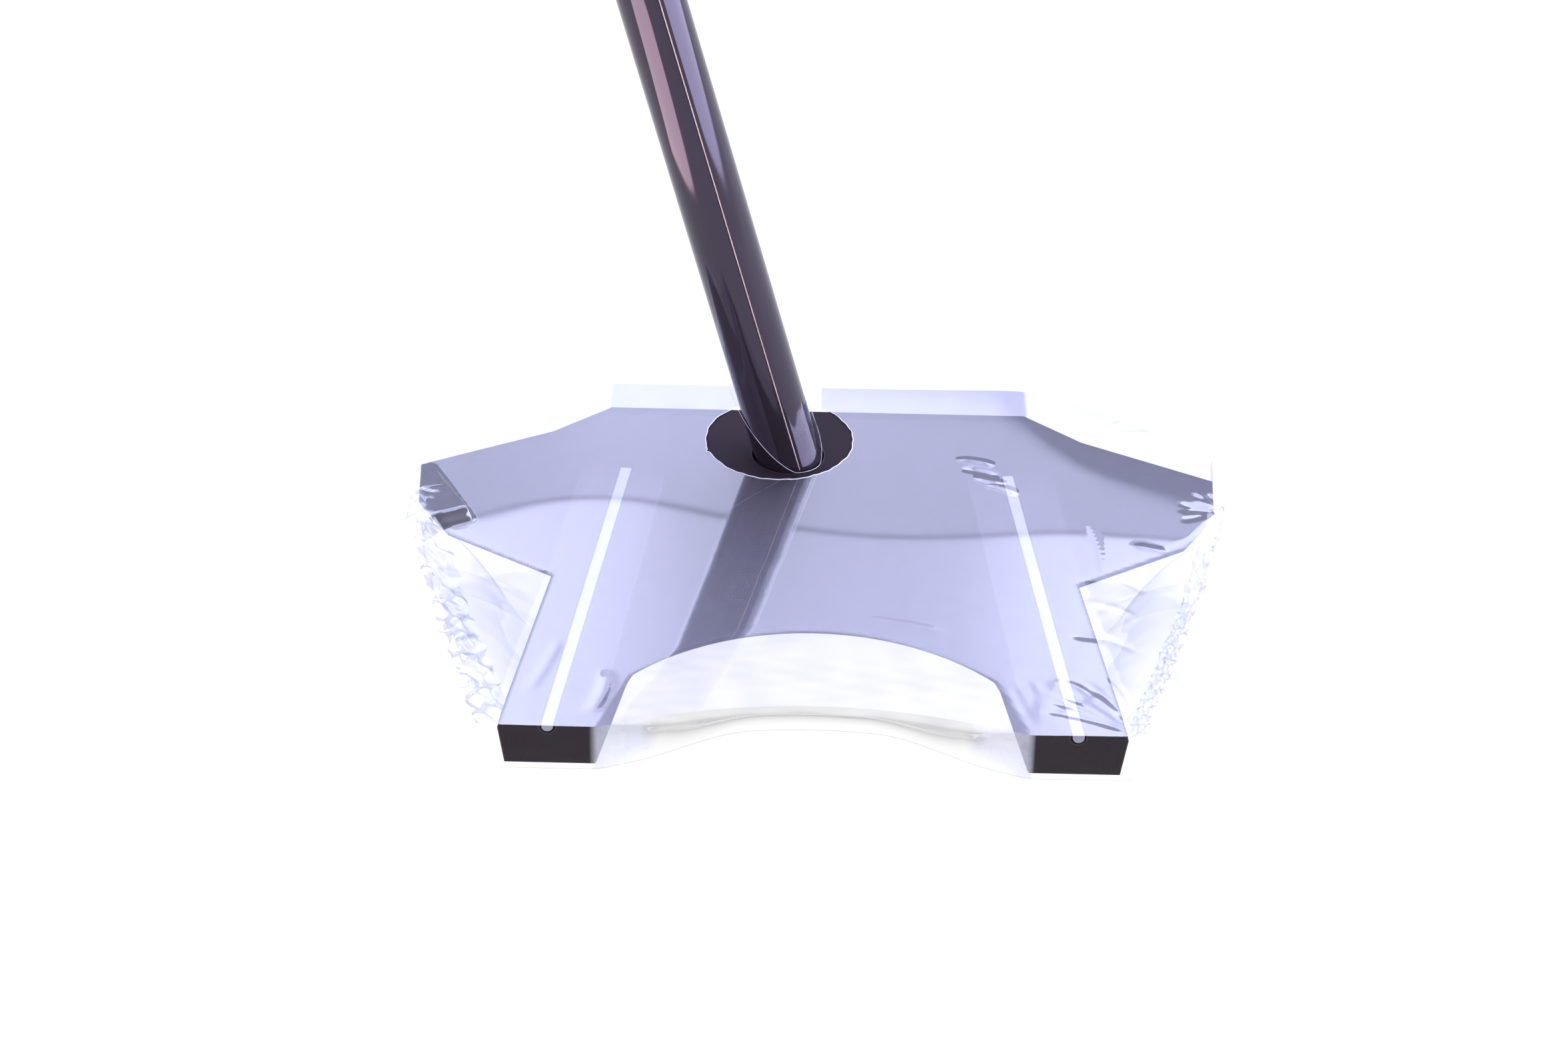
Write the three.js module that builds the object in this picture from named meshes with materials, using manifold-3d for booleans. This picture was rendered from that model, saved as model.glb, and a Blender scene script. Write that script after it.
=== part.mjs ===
// A right-handed, near centre-shafted mallet putter, still in its clear protective wrap.
// Millimetres. +X points to the toe, +Y to the target, +Z up. The origin is on the ground,
// under the middle of the sole flat, SOLE_ORIGIN_BACK behind the striking face.

import * as THREE from 'three';
import { mergeVertices } from 'three/addons/utils/BufferGeometryUtils.js';
import { ConvexGeometry } from 'three/addons/geometries/ConvexGeometry.js';
import Module from 'manifold-3d';

const wasm = await Module();
wasm.setup();

// ---------------------------------------------------------------- driving dimensions

// Clearance between neighbouring pieces.
const GAP = 0.3;

// Clear wrap around the head, which also lies under the sole.
const FILM_WALL = 0.25;
const FILM_LIP = 6.5;
const FILM_HOLE_REACH = 6.0;
const FILM_HOLE_HEELWARD = 1.3;
const FILM_HOLE_FORWARD = 3.6;
const FILM_SLIT_WIDTH = 10;
const FILM_REAR_RISE = 8.5;

// Head: overall sizes, then its outline from front to back. "back" is measured from the face.
const HEAD_WIDTH = 113.4;
const HEAD_DEPTH = 77.7;
const HEAD_HEIGHT = 24;
const SOLE_ORIGIN_BACK = 12;
const FACE_CORNER_INSET = 2.7;
const SHOULDER_INSET = 18.3;
const SHOULDER_BACK = 6.9;
const TOPLINE_RUN = 8.1;
const WING_TIP_BACK = 16.5;
const WING_SIDE_LENGTH = 8;
const WING_SIDE_DRAFT = 0.4;
const WING_REAR_INSET = 5.2;
const WING_REAR_BACK = 32.5;
const SHOULDER_FALL = 0.71;
const SOLE_FLAT_INSET = 15;
const SOLE_CAMBER_RISE = 7;

// Fangs, the arc between them, and the undersides that thin the wings and the plate.
const FANG_ROOT_X = 36;
const FANG_ROOT_BACK = 42.3;
const FANG_OUTER_X = 41;
const FANG_INNER_X = 28.4;
const FANG_HEIGHT = 6.3;
const FANG_TIP_FREE = 13.1;
const ARC_END_X = 24;
const ARC_RISE = 10.4;
const EDGE_THICKNESS = 0.8;
const RIB_START_BACK = 20;
const UNDERCUT_SLOPE = 1.57;
const RIB_INNER_LEAN = 30;
const FANG_OUTER_LEAN = 8;
const WING_REAR_LEAN = 52;
const WING_CORNER_LEAN = 40;
const WING_SIDE_LEAN = 12;

// Raised rails, and the painted sight line along each one.
const RAIL_STEP = 0.6;
const RAIL_START_BACK = 14;
const RAIL_RUN_IN = 18;
const RAIL_START_INNER_X = 21.2;
const RAIL_START_OUTER_X = 33.2;
const SIGHT_START_X = 27.3;
const SIGHT_START_BACK = 16;
const SIGHT_END_X = 34.5;
const SIGHT_WIDTH = 2.1;
const SIGHT_DEPTH = 1.5;

// Face insert and the double-sided pad that holds it.
const INSERT_INSET = 16;
const INSERT_MARGIN_BOTTOM = 3.2;
const INSERT_MARGIN_TOP = 5.6;
const INSERT_THICKNESS = 2.6;
const INSERT_CORNER = 3;
const INSERT_PAD_THICKNESS = 0.4;
const INSERT_PAD_MARGIN = 2;

// Sole plate, its four screws, and the two screwed sole weights.
const PLATE_LENGTH_GAP = 3.5;
const PLATE_WIDTH = 12.5;
const PLATE_FRONT_BACK = 4.4;
const PLATE_THICKNESS = 1.2;
const PLATE_CORNER = 2;
const PLATE_SCREW_INSET = 3.2;
const PLATE_SCREW_HEAD_RADIUS = 1.6;
const PLATE_SCREW_RADIUS = 0.8;
const PLATE_SCREW_LENGTH = 3.6;
const WEIGHT_INSET = 24;
const WEIGHT_BACK = 11.5;
const WEIGHT_RADIUS = 5.7;
const WEIGHT_THICKNESS = 5;
const WEIGHT_SOCKET_RADIUS = 2.1;
const WEIGHT_SOCKET_DEPTH = 2.4;
const WEIGHT_RING_RADIUS = 4.6;
const WEIGHT_RING_TUBE = 0.6;

// Shaft: where its axis meets the crown, how it leans, and its stepped profile.
const CLUB_LENGTH = 864;
const SHAFT_FOOT_X = -4.2;
const SHAFT_FOOT_BACK = 11.7;
const LIE_ANGLE = 73.7;
const FORWARD_LEAN = 6.8;
const SHAFT_TIP_DIAMETER = 9.4;
const SHAFT_BUTT_DIAMETER = 14.7;
const SHAFT_WALL = 1.0;
const SHAFT_BORE_DEPTH = 17;
const SHAFT_TIP_LENGTH = 150;
const SHAFT_STEPS = 8;
const SHAFT_STEP_PITCH = 42;
const SHAFT_STEP_RAMP = 1.5;
const BOND_THICKNESS = 1.0;
const TIP_PLUG_LENGTH = 9;

// Clear sleeve on the shaft, cut off at a slant above the crown.
const SLEEVE_WALL = 0.2;
const SLEEVE_TOP_GAP = 8;
const SLEEVE_CUT_HEIGHT = 2.4;
const SLEEVE_CUT_SLOPE = 33;

// Plain band below the grip, grip tape, grip and cap.
const BAND_LENGTH = 14;
const BAND_WALL = 0.25;
const BAND_BELOW_GRIP = 22;
const GRIP_LENGTH = 267;
const GRIP_MOUTH_RADIUS = 10.2;
const GRIP_WAIST_RADIUS = 11.4;
const GRIP_BUTT_RADIUS = 14.2;
const GRIP_FLAT_SHARE = 0.78;
const GRIP_TAPE_WALL = 0.3;
const CAP_THICKNESS = 4;
const CAP_STEM_LENGTH = 10;
const CAP_VENT_RADIUS = 1.2;

const ROUND_SIDES = 32;
const SMALL_SIDES = 16;

// ---------------------------------------------------------------- derived places

const SOLE_Z = FILM_WALL + GAP;
const CROWN_Z = SOLE_Z + HEAD_HEIGHT;
const FACE_Y = SOLE_ORIGIN_BACK;
const HALF = HEAD_WIDTH / 2;
const TALL = 4 * HEAD_HEIGHT;
const FAR = 400;

const faceCorner = { x: HALF - FACE_CORNER_INSET, back: 0 };
const shoulder = { x: HALF - SHOULDER_INSET, back: SHOULDER_BACK };
const topline = { x: shoulder.x - TOPLINE_RUN, back: 0 };
const wingTip = { x: HALF, back: WING_TIP_BACK };
const wingSide = { x: HALF - WING_SIDE_DRAFT, back: WING_TIP_BACK + WING_SIDE_LENGTH };
const wingRear = { x: HALF - WING_REAR_INSET, back: WING_REAR_BACK };
const fangRoot = { x: FANG_ROOT_X, back: FANG_ROOT_BACK };
const fangOuter = { x: FANG_OUTER_X, back: HEAD_DEPTH };
const fangInner = { x: FANG_INNER_X, back: HEAD_DEPTH };
const arcEnd = { x: ARC_END_X, back: HEAD_DEPTH - FANG_TIP_FREE };
const arcRadius = (ARC_END_X ** 2 + ARC_RISE ** 2) / (2 * ARC_RISE);
const arcCentreY = FACE_Y - (arcEnd.back - ARC_RISE) - arcRadius;
const weightX = HALF - WEIGHT_INSET;

const tipRadius = SHAFT_TIP_DIAMETER / 2;
const buttRadius = SHAFT_BUTT_DIAMETER / 2;

const shaftAxis = new THREE.Vector3(
  -1 / Math.tan(THREE.MathUtils.degToRad(LIE_ANGLE)),
  Math.tan(THREE.MathUtils.degToRad(FORWARD_LEAN)),
  1,
);
const axisPerHeight = shaftAxis.length();
shaftAxis.normalize();
const shaftFoot = new THREE.Vector3(SHAFT_FOOT_X, FACE_Y - SHAFT_FOOT_BACK, CROWN_Z);
const shaftTurn = new THREE.Quaternion().setFromUnitVectors(new THREE.Vector3(0, 1, 0), shaftAxis);
const shaftPlace = new THREE.Matrix4().compose(shaftFoot, shaftTurn, new THREE.Vector3(1, 1, 1));

// Stations along the shaft axis, measured up from the crown.
const clubTop = CLUB_LENGTH - CROWN_Z * axisPerHeight;
const gripTop = clubTop - CAP_THICKNESS - GAP;
const gripMouth = clubTop - GRIP_LENGTH;
const bandTop = gripMouth - BAND_BELOW_GRIP;
const bandBottom = bandTop - BAND_LENGTH;
const sleeveTop = bandBottom - SLEEVE_TOP_GAP;

// ---------------------------------------------------------------- geometry helpers

// A closed three.js geometry as a solid for cutting and joining.
function toSolid(geometry) {
  const bare = geometry.clone();
  bare.deleteAttribute('normal');
  bare.deleteAttribute('uv');
  const merged = mergeVertices(bare, 1e-4);
  const vertProperties = new Float32Array(merged.attributes.position.array);
  const triVerts = new Uint32Array(merged.index.array);
  return new wasm.Manifold(new wasm.Mesh({ numProp: 3, vertProperties, triVerts }));
}

function toGeometry(solid) {
  const mesh = solid.getMesh();
  const geometry = new THREE.BufferGeometry();
  geometry.setAttribute('position', new THREE.BufferAttribute(mesh.vertProperties, 3));
  geometry.setIndex(new THREE.BufferAttribute(mesh.triVerts, 1));
  return geometry;
}

function moved(geometry, x, y, z) {
  return geometry.translate(x, y, z);
}

// A plan outline, given as [x, y] points, raised from one height to another.
function planPrism(points, bottom, top) {
  const shape = new THREE.Shape(points.map(([x, y]) => new THREE.Vector2(x, y)));
  const geometry = new THREE.ExtrudeGeometry(shape, { depth: top - bottom, bevelEnabled: false });
  return moved(geometry, 0, 0, bottom);
}

// A side outline, given as [y, z] points, carried across the head's width.
function sidePrism(points, halfWidth) {
  const shape = new THREE.Shape(points.map(([y, z]) => new THREE.Vector2(y, z)));
  const geometry = new THREE.ExtrudeGeometry(shape, { depth: 2 * halfWidth, bevelEnabled: false });
  const turn = new THREE.Matrix4().set(0, 0, 1, -halfWidth, 1, 0, 0, 0, 0, 1, 0, 0, 0, 0, 0, 1);
  return geometry.applyMatrix4(turn);
}

// A front outline, given as [x, z] points, carried from front to back.
function frontPrism(points, fromY, toY) {
  const shape = new THREE.Shape(points.map(([x, z]) => new THREE.Vector2(x, z)));
  const geometry = new THREE.ExtrudeGeometry(shape, { depth: toY - fromY, bevelEnabled: false });
  const turn = new THREE.Matrix4().set(1, 0, 0, 0, 0, 0, -1, toY, 0, 1, 0, 0, 0, 0, 0, 1);
  return geometry.applyMatrix4(turn);
}

function roundedRectangle(halfLength, halfWidth, corner) {
  const points = [];
  const centres = [[1, 1], [-1, 1], [-1, -1], [1, -1]];
  centres.forEach(([sx, sy], quarter) => {
    for (let i = 0; i <= 4; i += 1) {
      const angle = (quarter + i / 4) * Math.PI / 2;
      const x = sx * (halfLength - corner) + corner * Math.cos(angle);
      const y = sy * (halfWidth - corner) + corner * Math.sin(angle);
      points.push([x, y]);
    }
  });
  return points;
}

// A turned shape about the Z axis, from [radius, height] points.
function turned(profile, sides) {
  const geometry = new THREE.LatheGeometry(profile.map(([r, h]) => new THREE.Vector2(r, h)), sides);
  return geometry.rotateX(Math.PI / 2);
}

// A turned shape about the shaft axis, from [radius, station] points. It stays in the axis group.
function turnedOnShaft(profile, sides = ROUND_SIDES) {
  return new THREE.LatheGeometry(profile.map(([r, h]) => new THREE.Vector2(r, h)), sides);
}

function tube(inner, outer, bottom, top) {
  return [[inner, bottom], [outer, bottom], [outer, top], [inner, top], [inner, bottom]];
}

// Plan point of an outline corner on the toe side (side 1) or the heel side (side -1).
function at(corner, side) {
  return [side * corner.x, FACE_Y - corner.back];
}

// A plan outline drawn for the toe side, kept counter-clockwise on either side.
function sided(points, side) {
  const placed = points.map(([x, y]) => [side * x, y]);
  return side > 0 ? placed : placed.reverse();
}

// Everything outside the plan line from one point to the other, below topZ, where the cut
// leans inwards by the given angle as it goes down. The outside is on the line's right.
function outsideCut(from, to, topZ, leanDegrees) {
  const along = new THREE.Vector2(to[0] - from[0], to[1] - from[1]).normalize();
  const out = new THREE.Vector2(along.y, -along.x);
  const reach = Math.tan(THREE.MathUtils.degToRad(leanDegrees)) * TALL;
  const corners = [];
  [-FAR, FAR].forEach((run) => {
    const x = from[0] + along.x * run;
    const y = from[1] + along.y * run;
    corners.push(new THREE.Vector3(x, y, topZ));
    corners.push(new THREE.Vector3(x - out.x * reach, y - out.y * reach, topZ - TALL));
    corners.push(new THREE.Vector3(x + out.x * FAR, y + out.y * FAR, topZ - TALL));
    corners.push(new THREE.Vector3(x + out.x * FAR, y + out.y * FAR, topZ));
  });
  return toSolid(new ConvexGeometry(corners));
}

// ---------------------------------------------------------------- head body

// Points along the arc between the fangs, from the toe side to the heel side.
function arcPoints(radius, endX, steps) {
  const half = Math.asin(endX / radius);
  const points = [];
  for (let i = 0; i <= steps; i += 1) {
    const angle = half * (1 - 2 * i / steps);
    points.push([radius * Math.sin(angle), arcCentreY + radius * Math.cos(angle)]);
  }
  return points;
}

// The height of a rib's underside at a distance behind the face.
function ribUnderside(back) {
  const share = (back - RIB_START_BACK) / (HEAD_DEPTH - RIB_START_BACK);
  return SOLE_Z + share * (HEAD_HEIGHT - FANG_HEIGHT);
}

// The hollow under the plate: a cone that meets the crown at the arc, kept between the ribs.
function plateHollow() {
  const top = CROWN_Z - RAIL_STEP - EDGE_THICKNESS;
  const reach = arcRadius + HEAD_HEIGHT * UNDERCUT_SLOPE;
  const cone = turned([[0, -HEAD_HEIGHT], [reach, -HEAD_HEIGHT], [arcRadius, 0], [0, 0]], 96);
  let hollow = toSolid(moved(cone, 0, arcCentreY, top));
  [1, -1].forEach((side) => {
    const near = [side * RAIL_START_INNER_X, FACE_Y - RAIL_START_BACK];
    const far = at(arcEnd, side);
    const wall = side > 0 ? [near, far] : [far, near];
    const outside = leaningOutwards(wall[0], wall[1], top, RIB_INNER_LEAN);
    hollow = hollow.subtract(outside);
  });
  return hollow;
}

// Everything on the left of a plan line, below topZ, where the cut widens towards that side
// by the given angle as it goes down.
function leaningOutwards(from, to, topZ, leanDegrees) {
  return outsideCut(to, from, topZ + 1, -leanDegrees);
}

function plateSolid() {
  const corner = (point) => at(point, 1);
  const toe = [corner({ x: RAIL_START_OUTER_X - 1, back: 0 }), corner(fangInner), corner(arcEnd)];
  const heel = toe.map(([x, y]) => [-x, y]).reverse();
  const arc = arcPoints(arcRadius, ARC_END_X, 32).slice(1, -1);
  const outline = [...toe, ...arc, ...heel];
  return toSolid(planPrism(outline, SOLE_Z, CROWN_Z));
}

function wingSolid(side) {
  const inner = fangRoot.x - 14;
  const points = [
    [inner, FACE_Y - FANG_ROOT_BACK],
    at(fangRoot, 1),
    at(wingRear, 1),
    at(wingSide, 1),
    at(wingTip, 1),
    at(faceCorner, 1),
    [inner, FACE_Y],
  ];
  let wing = toSolid(planPrism(sided(points, side), SOLE_Z, CROWN_Z));
  const edges = [
    [fangRoot, wingRear, WING_REAR_LEAN],
    [wingRear, wingSide, WING_CORNER_LEAN],
    [wingSide, wingTip, WING_SIDE_LEAN],
  ];
  edges.forEach(([from, to, lean]) => {
    const ends = side > 0 ? [at(from, 1), at(to, 1)] : [at(to, -1), at(from, -1)];
    wing = wing.subtract(outsideCut(ends[0], ends[1], CROWN_Z - RAIL_STEP - EDGE_THICKNESS, lean));
  });
  return wing;
}

// One fang with the rib that carries it forwards to the face bar.
function ribSolid(side) {
  const points = [
    [RAIL_START_INNER_X, FACE_Y - RAIL_START_BACK],
    at(fangInner, 1),
    at(fangOuter, 1),
    at(fangRoot, 1),
    [RAIL_START_OUTER_X, FACE_Y - RAIL_START_BACK],
  ];
  const rib = toSolid(planPrism(sided(points, side), SOLE_Z, CROWN_Z));
  const outer = side > 0 ? [at(fangOuter, 1), at(fangRoot, 1)] : [at(fangRoot, -1), at(fangOuter, -1)];
  return rib.subtract(outsideCut(outer[0], outer[1], CROWN_Z - EDGE_THICKNESS, FANG_OUTER_LEAN));
}

// The wedge under the whole rear, which rises from the sole flat to the fangs' undersides.
function rearRise() {
  const under = [
    [FACE_Y - RIB_START_BACK, SOLE_Z - 1],
    [FACE_Y - RIB_START_BACK, SOLE_Z],
    [FACE_Y - HEAD_DEPTH - 1, ribUnderside(HEAD_DEPTH + 1)],
    [FACE_Y - HEAD_DEPTH - 1, SOLE_Z - 1],
  ];
  return toSolid(sidePrism(under, HALF + 1));
}

// What is taken off above the plane that falls from one stretch of the crown's swept front edge
// to the top of the face. lift raises the plane for the wrap, and ahead carries it past the face.
function shoulderCut(side, from, to, lift, ahead) {
  const corners = [];
  [[from.x, from.back], [to.x, to.back]].forEach(([x, back]) => {
    [0, back + ahead].forEach((run) => {
      const y = FACE_Y - back + run;
      corners.push(new THREE.Vector3(side * x, y, CROWN_Z + lift - SHOULDER_FALL * run));
      corners.push(new THREE.Vector3(side * x, y, CROWN_Z + TALL));
    });
  });
  return toSolid(new ConvexGeometry(corners));
}

// Both falling planes of one side, the outer one carried past the wing tip.
function shoulderCuts(side, lift, ahead) {
  const slope = (wingTip.back - shoulder.back) / (wingTip.x - shoulder.x);
  const beyond = { x: wingTip.x + 6, back: wingTip.back + 6 * slope };
  const seam = { x: shoulder.x + 0.01, back: shoulder.back + 0.01 * slope };
  const inner = shoulderCut(side, topline, seam, lift, ahead);
  const outer = shoulderCut(side, shoulder, beyond, lift, ahead);
  return inner.add(outer);
}

// The sole's front view: flat in the middle, rising at heel and toe.
function soleCamber() {
  const flat = HALF - SOLE_FLAT_INSET;
  return [
    [-HALF - 5, CROWN_Z + TALL],
    [-HALF - 5, SOLE_Z + SOLE_CAMBER_RISE * (SOLE_FLAT_INSET + 5) / SOLE_FLAT_INSET],
    [-flat, SOLE_Z],
    [flat, SOLE_Z],
    [HALF + 5, SOLE_Z + SOLE_CAMBER_RISE * (SOLE_FLAT_INSET + 5) / SOLE_FLAT_INSET],
    [HALF + 5, CROWN_Z + TALL],
  ];
}

// Recesses that leave the two rails standing: one over the plate, one over each wing. Their
// floor runs down from the crown, so that no step shows across the head.
function railRecesses() {
  const bottom = CROWN_Z - RAIL_STEP;
  const top = CROWN_Z + 1;
  const startY = FACE_Y - RAIL_START_BACK;
  const endY = FACE_Y - HEAD_DEPTH - 1;
  const plate = [
    [-RAIL_START_INNER_X, startY],
    [-FANG_INNER_X, endY],
    [FANG_INNER_X, endY],
    [RAIL_START_INNER_X, startY],
  ];
  let recesses = toSolid(planPrism(plate, bottom, top));
  [1, -1].forEach((side) => {
    const wing = [
      [RAIL_START_OUTER_X, startY],
      [FANG_OUTER_X, endY],
      [HALF + 10, endY],
      [HALF + 10, FACE_Y - WING_TIP_BACK],
    ];
    recesses = recesses.add(toSolid(planPrism(sided(wing, side).reverse(), bottom, top)));
  });
  const runIn = [
    [startY, top],
    [startY, CROWN_Z],
    [startY - RAIL_RUN_IN, bottom],
    [endY - 1, bottom],
    [endY - 1, top],
  ];
  return recesses.intersect(toSolid(sidePrism(runIn, HALF + 11)));
}

// A U-section bar along one sight line, from its squared front end past the fang's end.
function sightBar(side, clearance, pastEnd) {
  const dx = SIGHT_END_X - SIGHT_START_X;
  const dy = HEAD_DEPTH - SIGHT_START_BACK;
  const length = Math.hypot(dx, dy) - clearance + pastEnd;
  const radius = SIGHT_WIDTH / 2 - clearance;
  const shape = new THREE.Shape();
  shape.moveTo(radius, 2 * RAIL_STEP);
  shape.lineTo(-radius, 2 * RAIL_STEP);
  shape.lineTo(-radius, -SIGHT_DEPTH + clearance + radius);
  shape.absarc(0, -SIGHT_DEPTH + clearance + radius, radius, Math.PI, 2 * Math.PI, false);
  shape.closePath();
  const bar = new THREE.ExtrudeGeometry(shape, { depth: length, bevelEnabled: false, curveSegments: 8 });
  bar.rotateX(Math.PI / 2);
  moved(bar, 0, -clearance, 0);
  bar.rotateZ(Math.atan2(side * dx, dy));
  return moved(bar, side * SIGHT_START_X, FACE_Y - SIGHT_START_BACK, CROWN_Z);
}

// A flat slab standing in the face, from one depth behind it to another.
function faceSlab(grow, fromBack, toBack) {
  const halfLength = HALF - FACE_CORNER_INSET - INSERT_INSET + grow;
  const halfHeight = (HEAD_HEIGHT - INSERT_MARGIN_BOTTOM - INSERT_MARGIN_TOP) / 2 + grow;
  const middle = SOLE_Z + INSERT_MARGIN_BOTTOM + halfHeight - grow;
  const outline = roundedRectangle(halfLength, halfHeight, INSERT_CORNER + grow);
  const raised = outline.map(([x, z]) => [x, z + middle]);
  return frontPrism(raised, FACE_Y - toBack, FACE_Y - fromBack);
}

// A cylinder about the shaft axis between two stations, in the head's own frame.
function borePlug(radius, bottom, top) {
  const geometry = turnedOnShaft([[0, bottom], [radius, bottom], [radius, top], [0, top]], 48);
  return toSolid(geometry.applyMatrix4(shaftPlace));
}

const insertPocketDepth = INSERT_THICKNESS + INSERT_PAD_THICKNESS + 2 * GAP;
const plateHalfLength = weightX - WEIGHT_RADIUS - PLATE_LENGTH_GAP;
const plateMiddleY = FACE_Y - PLATE_FRONT_BACK - PLATE_WIDTH / 2;
const boreBottom = -SHAFT_BORE_DEPTH - BOND_THICKNESS - 2 * GAP;
const screwX = plateHalfLength - PLATE_SCREW_INSET;
const screwY = PLATE_WIDTH / 2 - PLATE_SCREW_INSET;
const weightY = FACE_Y - WEIGHT_BACK;
const ringSeat = SOLE_Z + WEIGHT_THICKNESS + GAP;
const weightPocketTop = ringSeat + 2 * WEIGHT_RING_TUBE + GAP;

function soleDisc(radius, x, y, bottom, top) {
  const disc = turned([[0, bottom], [radius, bottom], [radius, top], [0, top]], ROUND_SIDES);
  return toSolid(moved(disc, x, y, 0));
}

function forScrews(action) {
  const places = [[-screwX, -screwY], [screwX, -screwY], [screwX, screwY], [-screwX, screwY]];
  return places.map(([x, y], i) => action(x, plateMiddleY + y, i + 1));
}

function headBody() {
  let body = plateSolid();
  [1, -1].forEach((side) => {
    body = body.add(wingSolid(side));
    body = body.add(ribSolid(side));
  });
  body = body.subtract(plateHollow());
  body = body.subtract(rearRise());
  body = body.intersect(toSolid(frontPrism(soleCamber(), FACE_Y - FAR, FACE_Y + 1)));
  body = body.subtract(railRecesses());
  [1, -1].forEach((side) => {
    body = body.subtract(shoulderCuts(side, 0, 5));
    body = body.subtract(toSolid(sightBar(side, 0, 5)));
    body = body.subtract(soleDisc(WEIGHT_RADIUS + GAP, side * weightX, weightY, -1, weightPocketTop));
  });
  body = body.subtract(toSolid(faceSlab(GAP, -1, insertPocketDepth)));
  body = body.subtract(borePlug(tipRadius + GAP, boreBottom, 2 * tipRadius));
  const pocket = roundedRectangle(plateHalfLength + GAP, PLATE_WIDTH / 2 + GAP, PLATE_CORNER + GAP);
  const pocketPlan = pocket.map(([x, y]) => [x, y + plateMiddleY]);
  body = body.subtract(toSolid(planPrism(pocketPlan, -1, SOLE_Z + PLATE_THICKNESS + GAP)));
  forScrews((x, y) => {
    body = body.subtract(soleDisc(PLATE_SCREW_RADIUS + GAP, x, y, -1, SOLE_Z + PLATE_SCREW_LENGTH + GAP));
  });
  return toGeometry(body);
}

// ---------------------------------------------------------------- pieces set in the head

function faceInsert() {
  return faceSlab(0, 0, INSERT_THICKNESS);
}

function insertPad() {
  const front = INSERT_THICKNESS + GAP;
  return faceSlab(-INSERT_PAD_MARGIN, front, front + INSERT_PAD_THICKNESS);
}

// The paint ends flush with the crown and with the fang's end face.
function sightLine(side) {
  const bar = toSolid(sightBar(side, GAP, 5));
  const keep = [[-FAR, FACE_Y - HEAD_DEPTH], [FAR, FACE_Y - HEAD_DEPTH], [FAR, FACE_Y], [-FAR, FACE_Y]];
  return toGeometry(bar.intersect(toSolid(planPrism(keep, 0, CROWN_Z))));
}

function solePlate() {
  const outline = roundedRectangle(plateHalfLength, PLATE_WIDTH / 2, PLATE_CORNER);
  const plan = outline.map(([x, y]) => [x, y + plateMiddleY]);
  let plate = toSolid(planPrism(plan, SOLE_Z, SOLE_Z + PLATE_THICKNESS));
  forScrews((x, y) => {
    const head = PLATE_SCREW_HEAD_RADIUS + GAP;
    plate = plate.subtract(soleDisc(PLATE_SCREW_RADIUS + GAP, x, y, -1, SOLE_Z + 5));
    plate = plate.subtract(soleDisc(head, x, y, -1, SOLE_Z + PLATE_THICKNESS / 2));
  });
  return toGeometry(plate);
}

function soleScrew(x, y) {
  const headTop = SOLE_Z + PLATE_THICKNESS / 2 - GAP;
  const end = SOLE_Z + PLATE_SCREW_LENGTH;
  const profile = [
    [0, SOLE_Z],
    [PLATE_SCREW_HEAD_RADIUS, SOLE_Z],
    [PLATE_SCREW_HEAD_RADIUS, headTop],
    [PLATE_SCREW_RADIUS, headTop],
    [PLATE_SCREW_RADIUS, end],
    [0, end],
  ];
  return moved(turned(profile, SMALL_SIDES), x, y, 0);
}

// A threaded disc with a six-sided key socket in its outer face.
function soleWeight(side) {
  const disc = soleDisc(WEIGHT_RADIUS, side * weightX, weightY, SOLE_Z, SOLE_Z + WEIGHT_THICKNESS);
  const top = SOLE_Z + WEIGHT_SOCKET_DEPTH;
  const key = [[0, -1], [WEIGHT_SOCKET_RADIUS, -1], [WEIGHT_SOCKET_RADIUS, top], [0, top]];
  const socket = moved(turned(key, 6), side * weightX, weightY, 0);
  return toGeometry(disc.subtract(toSolid(socket)));
}

function weightRing(side) {
  const ring = new THREE.TorusGeometry(WEIGHT_RING_RADIUS, WEIGHT_RING_TUBE, 8, ROUND_SIDES);
  return moved(ring, side * weightX, weightY, ringSeat + WEIGHT_RING_TUBE);
}

// ---------------------------------------------------------------- shaft, sleeve and grip

// The shaft's outer radius steps up along it. Each step is a short ramp.
function shaftOutline(grow, bottom, top, early) {
  const points = [];
  let reached = tipRadius;
  for (let i = 0; i < SHAFT_STEPS; i += 1) {
    const start = SHAFT_TIP_LENGTH + i * SHAFT_STEP_PITCH - early;
    const after = tipRadius + (buttRadius - tipRadius) * (i + 1) / SHAFT_STEPS;
    if (start > bottom && start + SHAFT_STEP_RAMP < top) {
      points.push([reached + grow, start]);
      points.push([after + grow, start + SHAFT_STEP_RAMP]);
    }
    if (start + SHAFT_STEP_RAMP < top) {
      reached = after;
    }
  }
  const first = points.length > 0 ? points[0][0] : reached + grow;
  return [[first, bottom], ...points, [reached + grow, top]];
}

function steppedTube(innerGrow, outerGrow, bottom, top, early) {
  const outer = shaftOutline(outerGrow, bottom, top, early);
  const inner = shaftOutline(innerGrow, bottom, top, early).reverse();
  return turnedOnShaft([...outer, ...inner, outer[0]]);
}

function shaft() {
  return steppedTube(-SHAFT_WALL, 0, -SHAFT_BORE_DEPTH, gripTop - 2 * GAP, 0);
}

function tipPlug() {
  const radius = tipRadius - SHAFT_WALL - GAP;
  const bottom = -SHAFT_BORE_DEPTH + 1;
  const top = bottom + TIP_PLUG_LENGTH;
  return turnedOnShaft([[0, bottom], [radius, bottom], [radius, top], [0, top]]);
}

function shaftBond() {
  const top = -SHAFT_BORE_DEPTH - GAP;
  const bottom = top - BOND_THICKNESS;
  return turnedOnShaft([[0, bottom], [tipRadius, bottom], [tipRadius, top], [0, top]]);
}

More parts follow.
